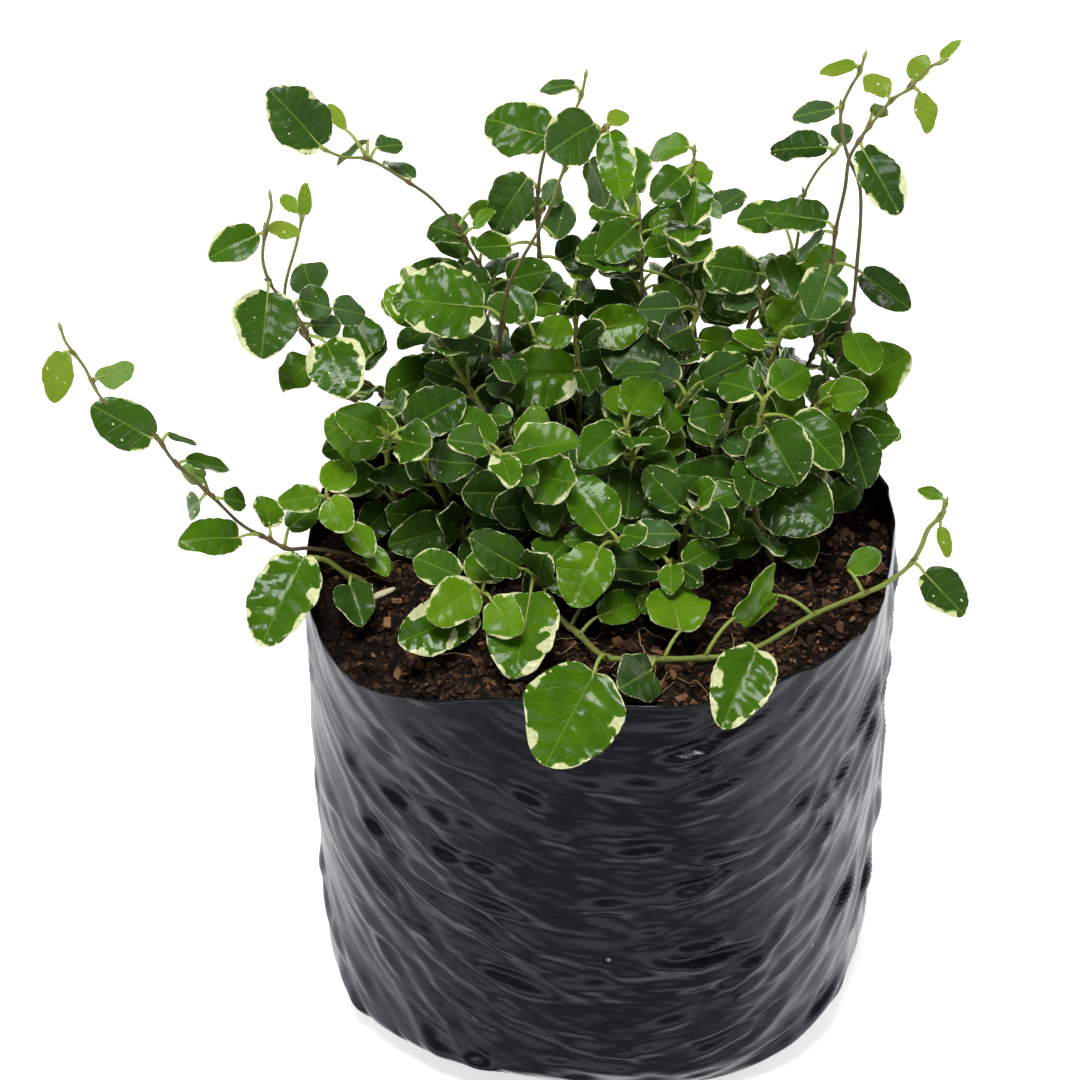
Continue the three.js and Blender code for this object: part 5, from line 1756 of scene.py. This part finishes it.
    def add_husk(self, shape: Shape) -> None:
        """Add a dry pale leaf sheath that lies at the left: a flattened tube, rounded at its ends."""
        ends = np.array(self.husk_ends)
        ends[:, 2] += BAG.soil_height(ends[:, 0], ends[:, 1])
        t = np.linspace(0.02, 0.98, 12)
        radii = self.husk_width / 2 * np.sin(math.pi * t) ** 0.35
        path = ends[0] + t[:, None] * (ends[1] - ends[0]) + np.sin(5 * t)[:, None] * 0.25 * UP
        points, faces = tube(path, radii, 10)
        points[:, 2] = path[:, 2].mean() + (points[:, 2] - path[:, 2].mean()) * 0.6
        shape.add(points, faces, look=np.array([1.0, 1.0, 3.0]))


def operator(operation: str, swapped: bool = False) -> Callable[..., Term]:
    """Return a method that adds a Math node for an operation on a term and at most one more value."""

    def method(self: Term, *other: Term | float) -> Term:
        """Return the result as a new term."""
        return self.graph.maths(operation, *((*other, self) if swapped else (self, *other)))

    return method


class Term:
    """A number in a material's maths: wraps a socket, and each operator adds a Math node."""

    def __init__(self, graph: Graph, socket: bpy.types.NodeSocket) -> None:
        """Wrap a socket of a graph."""
        self.graph = graph
        self.socket = socket

    __add__ = __radd__ = operator("ADD")
    __mul__ = __rmul__ = operator("MULTIPLY")
    __sub__ = operator("SUBTRACT")
    __rsub__ = operator("SUBTRACT", swapped=True)
    __abs__ = operator("ABSOLUTE")
    greater = operator("GREATER_THAN")
    least = operator("MINIMUM")
    most = operator("MAXIMUM")

    def wave(self) -> Term:
        """Return the distance to the nearest whole number, from 0 to 0.5."""
        return abs(self.graph.maths("FRACT", self + 0.5) - 0.5)

    def ramp(self, low: float, high: float) -> Term:
        """Return 0 up to low, 1 from high, smooth between them; falling if low is the greater."""
        return self.graph.node(
            "ShaderNodeMapRange", {"interpolation_type": "SMOOTHSTEP", "clamp": True},
            {"Value": self, "From Min": low, "From Max": high, "To Min": 0.0, "To Max": 1.0}, "Result",
        )


class Graph:
    """Builds the nodes of one material, or of the world, round its shader."""

    def __init__(self, name: str, world: bool = False) -> None:
        """Make the material or the world, and keep its shader."""
        self.material = (bpy.data.worlds if world else bpy.data.materials).new(name)
        self.material.use_nodes = True
        self.tree = self.material.node_tree
        self.shader = self.tree.nodes["Background" if world else "Principled BSDF"]

    def node(self, kind: str, settings: dict, inputs: dict, output: str | int = 0) -> Term:
        """Add a node.

        Args:
            kind: the node's type.
            settings: its properties, set first.
            inputs: values or terms by socket name or number.
            output: the socket wanted.

        Returns:
            The wanted output.
        """
        node = self.tree.nodes.new(kind)
        for key, value in settings.items():
            if key == "stops":
                self.set_stops(node.color_ramp, value)
            else:
                setattr(node, key, value)
        for key, value in inputs.items():
            self.feed(node.inputs[key], value)
        return Term(self, node.outputs[output])

    def feed(self, socket: bpy.types.NodeSocket, value: Term | float | Spot) -> None:
        """Link a term to a socket, or set its value."""
        if isinstance(value, Term):
            self.tree.links.new(value.socket, socket)
        elif isinstance(value, tuple) and socket.type == "RGBA":
            socket.default_value = (*value, 1.0)
        else:
            socket.default_value = value

    @staticmethod
    def set_stops(ramp: bpy.types.ColorRamp, stops: tuple) -> None:
        """Set the places and the colours of a ramp."""
        while len(ramp.elements) < len(stops):
            ramp.elements.new(0.5)
        for element, (place, colour) in zip(ramp.elements, stops):
            element.position = place
            element.color = (*colour, 1.0)

    def maths(self, operation: str, *values: Term | float) -> Term:
        """Add a Math node."""
        return self.node("ShaderNodeMath", {"operation": operation}, dict(enumerate(values)))

    def attribute(self, name: str) -> tuple[Term, Term, Term, Term]:
        """Return a vector attribute of the points, whole and as its three numbers."""
        whole = self.node("ShaderNodeAttribute", {"attribute_name": name}, {}, "Vector")
        parts = [self.node("ShaderNodeSeparateXYZ", {}, {"Vector": whole}, i) for i in range(3)]
        return whole, *parts

    def place(self) -> Term:
        """Return the Object coordinates."""
        return self.node("ShaderNodeTexCoord", {}, {}, "Object")

    def noise(self, at: Term, scale: float, detail: float = 2.0, rough: float = 0.5) -> Term:
        """Return noise from 0 to 1."""
        inputs = {"Vector": at, "Scale": scale, "Detail": detail, "Roughness": rough}
        return self.node("ShaderNodeTexNoise", {}, inputs, "Fac")

    def cells(self, at: Term, scale: float, feature: str = "F1", output: str = "Distance") -> Term:
        """Return a Voronoi pattern: distances, or a random number for each cell."""
        inputs = {"Vector": at, "Scale": scale}
        result = self.node("ShaderNodeTexVoronoi", {"feature": feature}, inputs, output)
        if output != "Color":
            return result
        return self.node("ShaderNodeSeparateColor", {}, {"Color": result}, "Red")

    def mix(self, share: Term | float, first: Term | Spot, second: Term | Spot) -> Term:
        """Return a mix of two colours."""
        node = self.tree.nodes.new("ShaderNodeMix")
        node.data_type = "RGBA"
        for key, value in (("Factor_Float", share), ("A_Color", first), ("B_Color", second)):
            self.feed(next(s for s in node.inputs if s.identifier == key), value)
        return Term(self, next(s for s in node.outputs if s.identifier == "Result_Color"))

    def colours(self, share: Term, stops: tuple) -> Term:
        """Return a colour from a ramp of stops."""
        return self.node("ShaderNodeValToRGB", {"stops": stops}, {"Fac": share}, "Color")

    def stretch(self, at: Term, factors: Spot) -> Term:
        """Return a place with its three numbers multiplied."""
        return self.node("ShaderNodeVectorMath", {"operation": "MULTIPLY"}, {0: at, 1: factors}, "Vector")

    def bump(self, height: Term, distance: float, strength: float = 1.0) -> Term:
        """Return a normal bent by a height from 0 to 1, distance being the height of 1 in metres."""
        return self.node("ShaderNodeBump", {}, {"Height": height, "Distance": distance, "Strength": strength})

    def finish(self, **inputs: Term | float | Spot) -> bpy.types.Material:
        """Set the shader's sockets, named with underscores for spaces, and return the material."""
        for key, value in inputs.items():
            self.feed(self.shader.inputs[key.replace("_", " ")], value)
        return self.material


@dataclass(frozen=True)
class BladeFinish:
    """Quilted variegated leaf: green by tone, grey-green painted sheen, cream margins with a stepped border,
    veins and dots.
    """

    dark: Spot = (0.008, 0.029, 0.0025)
    mid: Spot = (0.041, 0.117, 0.002)
    bright: Spot = (0.102, 0.222, 0.003)
    young: Spot = (0.185, 0.262, 0.022)
    # Colour of the grey-green painted sheen on shaded leaves.
    painted_sheen: Spot = (0.040, 0.088, 0.028)
    cream: Spot = (0.66, 0.67, 0.38)
    pale: Spot = (0.22, 0.34, 0.06)
    vein: Spot = (0.17, 0.29, 0.03)
    under: Spot = (0.20, 0.32, 0.09)

    def make(self) -> bpy.types.Material:
        """Return the material.

        The cream margin is where the distance to the margin, made jagged by cells, is less than a width
        that varies along it. Lateral veins are where the vein phase is near a whole number.
        """
        g = Graph("leaf_blade")
        flat, x, *_ = g.attribute("flat")
        _, distance, phase, under = g.attribute("edge")
        _, tone, cream, blotch = g.attribute("look")
        _, painted_sheen, dots, gloss = g.attribute("mark")
        patch = g.noise(flat, 0.11, 1.0)
        fine = g.noise(flat, 0.9, 2.0)
        shade = tone + (patch - 0.5) * 0.45 + (fine - 0.5) * 0.12
        stops = ((0.0, self.dark), (0.45, self.mid), (0.72, self.bright), (1.0, self.young))
        green = g.colours(shade, stops)
        # Painted sheen: grey-green mixed over the green, patchy, by each leaf's amount.
        green = g.mix(painted_sheen * (0.75 + 0.5 * patch), green, self.painted_sheen)
        lateral = phase.wave()
        vein_line = lateral.ramp(0.07, 0.02) * distance.ramp(0.3, 1.6)
        middle = abs(x).ramp(0.32, 0.12)
        green = g.mix((middle * 0.45).most(vein_line * 0.14), green, self.vein)
        net = g.cells(flat, 1.5, "DISTANCE_TO_EDGE")
        green = g.mix(net.ramp(0.12, 0.0) * 0.1, green, self.vein)
        steps = g.cells(flat, 0.62, output="Color")
        small_steps = g.cells(flat, 1.5, output="Color")
        away = distance + (steps - 0.5) * cream.least(1.4) * 0.9 + (small_steps - 0.5) * 0.25
        vary = g.noise(flat, 0.16, 1.0)
        width = cream * (vary.ramp(0.48, 0.75) * 2.3 + 0.04)
        spread = g.noise(flat, 0.13, 2.0).ramp(0.56, 0.7) * blotch * 3.2
        width = width.most(spread * vary.ramp(0.3, 0.6))
        pale_mask = (width + 0.55 - away).ramp(0.0, 0.35) * width.ramp(0.2, 0.7)
        green = g.mix(pale_mask * 0.7, green, self.pale)
        cream_mask = (width - away).ramp(-0.06, 0.08)
        thin = distance.ramp(0.2, 0.08) * cream.ramp(0.1, 0.3) * vary.ramp(0.48, 0.6) * 0.45
        cream_mask = cream_mask.most(thin)
        speck = g.cells(flat, 0.42)
        speck_pick = g.cells(flat, 0.42, output="Color")
        speck_mask = speck.ramp(0.15, 0.1) * (speck_pick + dots * 0.55).greater(1.02)
        cream_mask = cream_mask.most(speck_mask)
        cream_tint = g.mix(fine.ramp(0.35, 0.75) * 0.35, self.cream, self.pale)
        colour = g.mix(cream_mask, green, cream_tint)
        lower = g.mix(cream_mask * 0.6, g.mix(0.45, colour, self.under), self.cream)
        colour = g.mix(under, colour, lower)
        height = lateral.ramp(0.0, 0.1) * 0.4 + fine * 0.35
        rough = 0.42 - 0.18 * gloss + 0.1 * fine + 0.1 * cream_mask + 0.25 * under
        return g.finish(
            Base_Color=colour, Roughness=rough, Coat_Weight=(1 - under) * gloss * 0.32,
            Coat_Roughness=0.15, Specular_IOR_Level=0.1, Normal=g.bump(height, 0.00035, 0.8),
        )


@dataclass(frozen=True)
class BarkFinish:
    """Stems from green to brown, yellow-green petioles, and dry brown stipules and buds."""

    young: Spot = (0.19, 0.25, 0.035)
    old: Spot = (0.100, 0.056, 0.024)
    petiole: Spot = (0.29, 0.38, 0.06)
    scale: Spot = (0.16, 0.075, 0.028)
    fresh: Spot = (0.25, 0.27, 0.05)

    def make(self) -> bpy.types.Material:
        """Return the material: colours by age and part, with fine streaks and lighter pores."""
        g = Graph("stem_bark")
        _, age, part, _ = g.attribute("look")
        flat, *_ = g.attribute("flat")
        streak = g.noise(flat, 1.1, 3.0, 0.6)
        coarse = g.noise(flat, 0.25, 2.0)
        stem = g.mix((age + (coarse - 0.5) * 0.5).ramp(0.1, 0.75), self.young, self.old)
        petiole = g.mix(age.ramp(0.0, 0.3) * 0.5, self.petiole, self.fresh)
        scale = g.mix(age.ramp(0.1, 0.8), self.fresh, self.scale)
        colour = g.mix(part.ramp(0.2, 0.8), stem, petiole)
        colour = g.mix(part.ramp(1.2, 1.8), colour, scale)
        colour = g.mix(streak.ramp(0.35, 0.75) * 0.5, colour, g.mix(0.5, colour, self.fresh))
        pores = g.cells(flat, 0.9).ramp(0.16, 0.1) * age
        colour = g.mix(pores * 0.7, colour, (0.3, 0.2, 0.11))
        rough = 0.5 + 0.25 * streak
        return g.finish(Base_Color=colour, Roughness=rough, Normal=g.bump(streak + pores * 0.5, 0.00018))


@dataclass(frozen=True)
class FilmFinish:
    """Black polythene film: satin, finely crinkled, with a little pale dust."""

    black: Spot = (0.0022, 0.0023, 0.0036)
    worn: Spot = (0.0060, 0.0062, 0.0092)
    dust: Spot = (0.30, 0.27, 0.24)
    sheen: Spot = (0.86, 0.86, 1.0)

    def make(self) -> bpy.types.Material:
        """Return the material: two layers of stretched crinkle, cloudy wear, smudges and specks."""
        g = Graph("bag_film")
        at = g.place()
        cloud = g.noise(at, 22.0, 3.0, 0.6)
        fine = g.noise(g.stretch(at, (0.7, 0.7, 2.6)), 130.0, 2.0, 0.5)
        hair = g.noise(at, 700.0, 1.0)
        speck = g.cells(at, 190.0)
        pick = g.cells(at, 190.0, output="Color")
        dust = speck.ramp(0.17, 0.1) * pick.greater(0.955) * g.noise(at, 30.0).ramp(0.45, 0.6)
        smudge = cloud.ramp(0.5, 0.8)
        colour = g.mix(smudge * 0.6, self.black, self.worn)
        colour = g.mix(dust * 0.7, colour, self.dust)
        height = fine + hair * 0.05
        rough = 0.2 + 0.14 * cloud + 0.06 * fine + 0.3 * dust
        return g.finish(
            Base_Color=colour, Roughness=rough, Specular_IOR_Level=0.5, Specular_Tint=self.sheen,
            Normal=g.bump(height, 0.0009, 0.35),
        )


@dataclass(frozen=True)
class SoilFinish:
    """Moist dark potting mix, red-brown chips and dry fibres."""

    # The mix's own dark colour, and in the filling also the painted shade in crevices.
    dark: Spot = (0.006, 0.0035, 0.0022)
    brown: Spot = (0.075, 0.036, 0.018)
    chip: Spot = (0.150, 0.066, 0.030)
    pale: Spot = (0.30, 0.16, 0.08)
    fibre: Spot = (0.42, 0.27, 0.13)
    husk: Spot = (0.62, 0.56, 0.36)

    def make_fill(self) -> bpy.types.Material:
        """Return the material of the filling: brown crumbs, with painted shade in the crevices between them.
        """
        g = Graph("potting_soil")
        at = g.place()
        crumb = g.noise(at, 260.0, 3.0, 0.65)
        patch = g.noise(at, 60.0, 2.0)
        grain = g.cells(at, 420.0)
        # Painted shade: the crevices at the cells' edges are mixed towards the dark colour.
        crevice_shade_and_bump = g.cells(at, 330.0, "DISTANCE_TO_EDGE").ramp(0.0, 0.22)
        colour = g.mix((crumb * 0.7 + patch * 0.4).ramp(0.45, 0.72) * crevice_shade_and_bump, self.dark, self.brown)
        colour = g.mix(grain.ramp(0.2, 0.05) * crumb.ramp(0.5, 0.7) * 0.6, colour, self.chip)
        height = crumb + grain * 0.4 + crevice_shade_and_bump * 0.5
        return g.finish(Base_Color=colour, Roughness=0.8 + 0.15 * patch, Specular_IOR_Level=0.15,
                        Normal=g.bump(height, 0.0016))

    def make_pieces(self) -> bpy.types.Material:
        """Return the material of chips and fibres, tinted piece by piece."""
        g = Graph("soil_pieces")
        _, tint, other, kind = g.attribute("look")
        at = g.place()
        grain = g.noise(g.stretch(at, (1.0, 2.5, 1.0)), 500.0, 3.0)
        stops = ((0.0, self.dark), (0.35, self.brown), (0.75, self.chip), (1.0, self.pale))
        colour = g.colours(tint * tint * 0.9 + grain * 0.25 - 0.05, stops)
        colour = g.mix(kind.ramp(1.4, 1.6) * (0.4 + 0.6 * other), colour, self.fibre)
        colour = g.mix(kind.ramp(2.4, 2.6) * (0.8 + 0.2 * grain), colour, self.husk)
        return g.finish(Base_Color=colour, Roughness=0.75 + 0.2 * grain, Specular_IOR_Level=0.2,
                        Normal=g.bump(grain, 0.0004))


@dataclass(frozen=True)
class Studio:
    """Pale floor, soft lights and the camera at the photograph's viewing angle."""

    target: Spot = (-0.0185, 0.0, 0.136)
    distance: float = 0.672
    elevation: float = math.radians(31)
    lens: float = 80.0
    world: float = 0.07
    back_light: float = 1.7
    band_light: float = 1.25
    floor_size: float = 6.0

    def build(self) -> None:
        """Add the world, the floor, the lights and the camera."""
        scene = bpy.context.scene
        scene.view_settings.view_transform = "Standard"
        scene.world = self.surroundings()
        self.add_floor()
        self.add_light("key", (-0.12, -0.32, 1.3), 0.48, 15.0)
        self.add_light("left", (-1.1, 0.35, 0.5), 0.7, 4.0)
        self.add_light("right", (1.1, 0.45, 0.55), 0.7, 4.0)
        self.add_camera()

    def surroundings(self) -> bpy.types.World:
        """Return the world: dim above, bright low down at the back and the sides, dim in front.

        The low part rises with y from front to back, a band at the horizon is added all round, and both
        fade out upwards.
        """
        g = Graph("studio", world=True)
        direction = g.node("ShaderNodeTexCoord", {}, {}, "Generated")
        y = g.node("ShaderNodeSeparateXYZ", {}, {"Vector": direction}, "Y")
        z = g.node("ShaderNodeSeparateXYZ", {}, {"Vector": direction}, "Z")
        low = z.ramp(0.3, -0.1)
        band = z.ramp(-0.74, 0.0) * z.ramp(0.35, 0.05)
        strength = z.ramp(-0.3, 0.1) * self.world + low * y.ramp(-0.9, 0.3) * self.back_light
        strength = strength + band * self.band_light
        return g.finish(Color=(1.0, 1.0, 1.0), Strength=strength)

    def add_floor(self) -> None:
        """Add a pale floor that curves up far behind the plant."""
        x = np.linspace(-0.5, 0.5, 2) * self.floor_size
        y = np.array([-0.5, 0.2, 0.3, 0.36, 0.4, 0.42, 0.425]) * self.floor_size
        z = np.array([0, 0, 0.02, 0.06, 0.13, 0.22, 0.4]) * self.floor_size
        points = np.array([(a, b, c) for b, c in zip(y, z) for a in x]) / MM
        shape = Shape("floor")
        shape.add(points, [grid_faces(len(y), 2)[:, ::-1]])
        g = Graph("floor_paper")
        material = g.finish(Base_Color=(0.92, 0.92, 0.92), Roughness=0.8, Emission_Color=(1.0, 1.0, 1.0),
                            Emission_Strength=0.65)
        floor = shape.build([material])
        floor.visible_glossy = False

    def add_light(self, name: str, place: Spot, size: float, power: float) -> None:
        """Add a square soft light that looks at the plant.

        Args:
            name: its name.
            place: where it stands.
            size: its side in metres.
            power: its power in watts.
        """
        data = bpy.data.lights.new(name, "AREA")
        data.size = size
        data.energy = power
        light = bpy.data.objects.new(name, data)
        light.location = place
        aim = np.array(self.target) - np.array(place)
        light.rotation_euler = self.looking(aim)
        linked(light)

    @staticmethod
    def looking(aim: Array) -> Spot:
        """Return the Euler angles that turn an object's -Z to a direction, its X staying level."""
        flat = math.hypot(aim[0], aim[1])
        return math.atan2(flat, -aim[2]), 0.0, math.atan2(aim[1], aim[0]) - math.pi / 2

    def add_camera(self) -> None:
        """Add the camera."""
        data = bpy.data.cameras.new("camera")
        data.lens = self.lens
        data.sensor_width = 36.0
        camera = bpy.data.objects.new("camera", data)
        back = np.array([0.0, -math.cos(self.elevation), math.sin(self.elevation)])
        camera.location = tuple(np.array(self.target) + back * self.distance)
        camera.rotation_euler = self.looking(-back)
        linked(camera)
        bpy.context.scene.camera = camera


@dataclass
class CreepingFig:
    """The whole plant: every shoot as one piece of blades, stem, petioles, stipules and hairs."""

    blade: Blade = Blade()
    twig: Twig = Twig()
    names: tuple[str, ...] = ("flat", "edge", "look", "mark")

    def build(self) -> list[bpy.types.Object]:
        """Grow the plant, and return a piece for each shoot, named after the node that it replaces."""
        plant = Plant()
        placed = sum(len(shoot.leaves) for shoot in plant.shoots)
        added = plant.fill()
        LOG.info("plant: %d shoots, %d leaves, %d small leaves added", len(plant.shoots), placed, added)
        materials = [BladeFinish().make(), BarkFinish().make()]
        pieces = []
        for shoot in plant.shoots:
            shape = Shape(f"leafy_{shoot.name}", self.names)
            self.twig.add_stem(shape, shoot)
            self.twig.add_hairs(shape, shoot)
            for leaf in shoot.leaves:
                self.blade.add_to(shape, leaf)
                self.twig.add_petiole(shape, shoot, leaf)
                self.twig.add_stipules(shape, shoot, leaf)
            piece = shape.build(materials)
            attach(piece, "root")
            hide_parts(f"shoot_{shoot.name}")
            pieces.append(piece)
            LOG.info("%s: %d leaves, %d faces", shape.name, len(shoot.leaves), len(piece.data.polygons))
        return pieces


def main() -> None:
    """Load the frame and build every piece round it."""
    logging.basicConfig(level=logging.INFO, format="%(name)s: %(message)s")
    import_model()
    Studio().build()
    bag = FilmBag()
    soil = PottingSoil(bag)
    finish = SoilFinish()
    pieces_finish = finish.make_pieces()
    film_piece = bag.build(FilmFinish().make())
    fill_piece = soil.build(finish.make_fill())
    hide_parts("bag")
    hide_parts("soil")
    loose = [soil.build_chips(pieces_finish), soil.build_fibres(pieces_finish)]
    for piece, slot in [(film_piece, "bag_film"), *((p, "potting_soil") for p in (fill_piece, *loose))]:
        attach(piece, "root")
        LOG.info("%s: %d faces", piece.name, len(piece.data.polygons))
    CreepingFig().build()


if __name__ == "__main__":
    main()
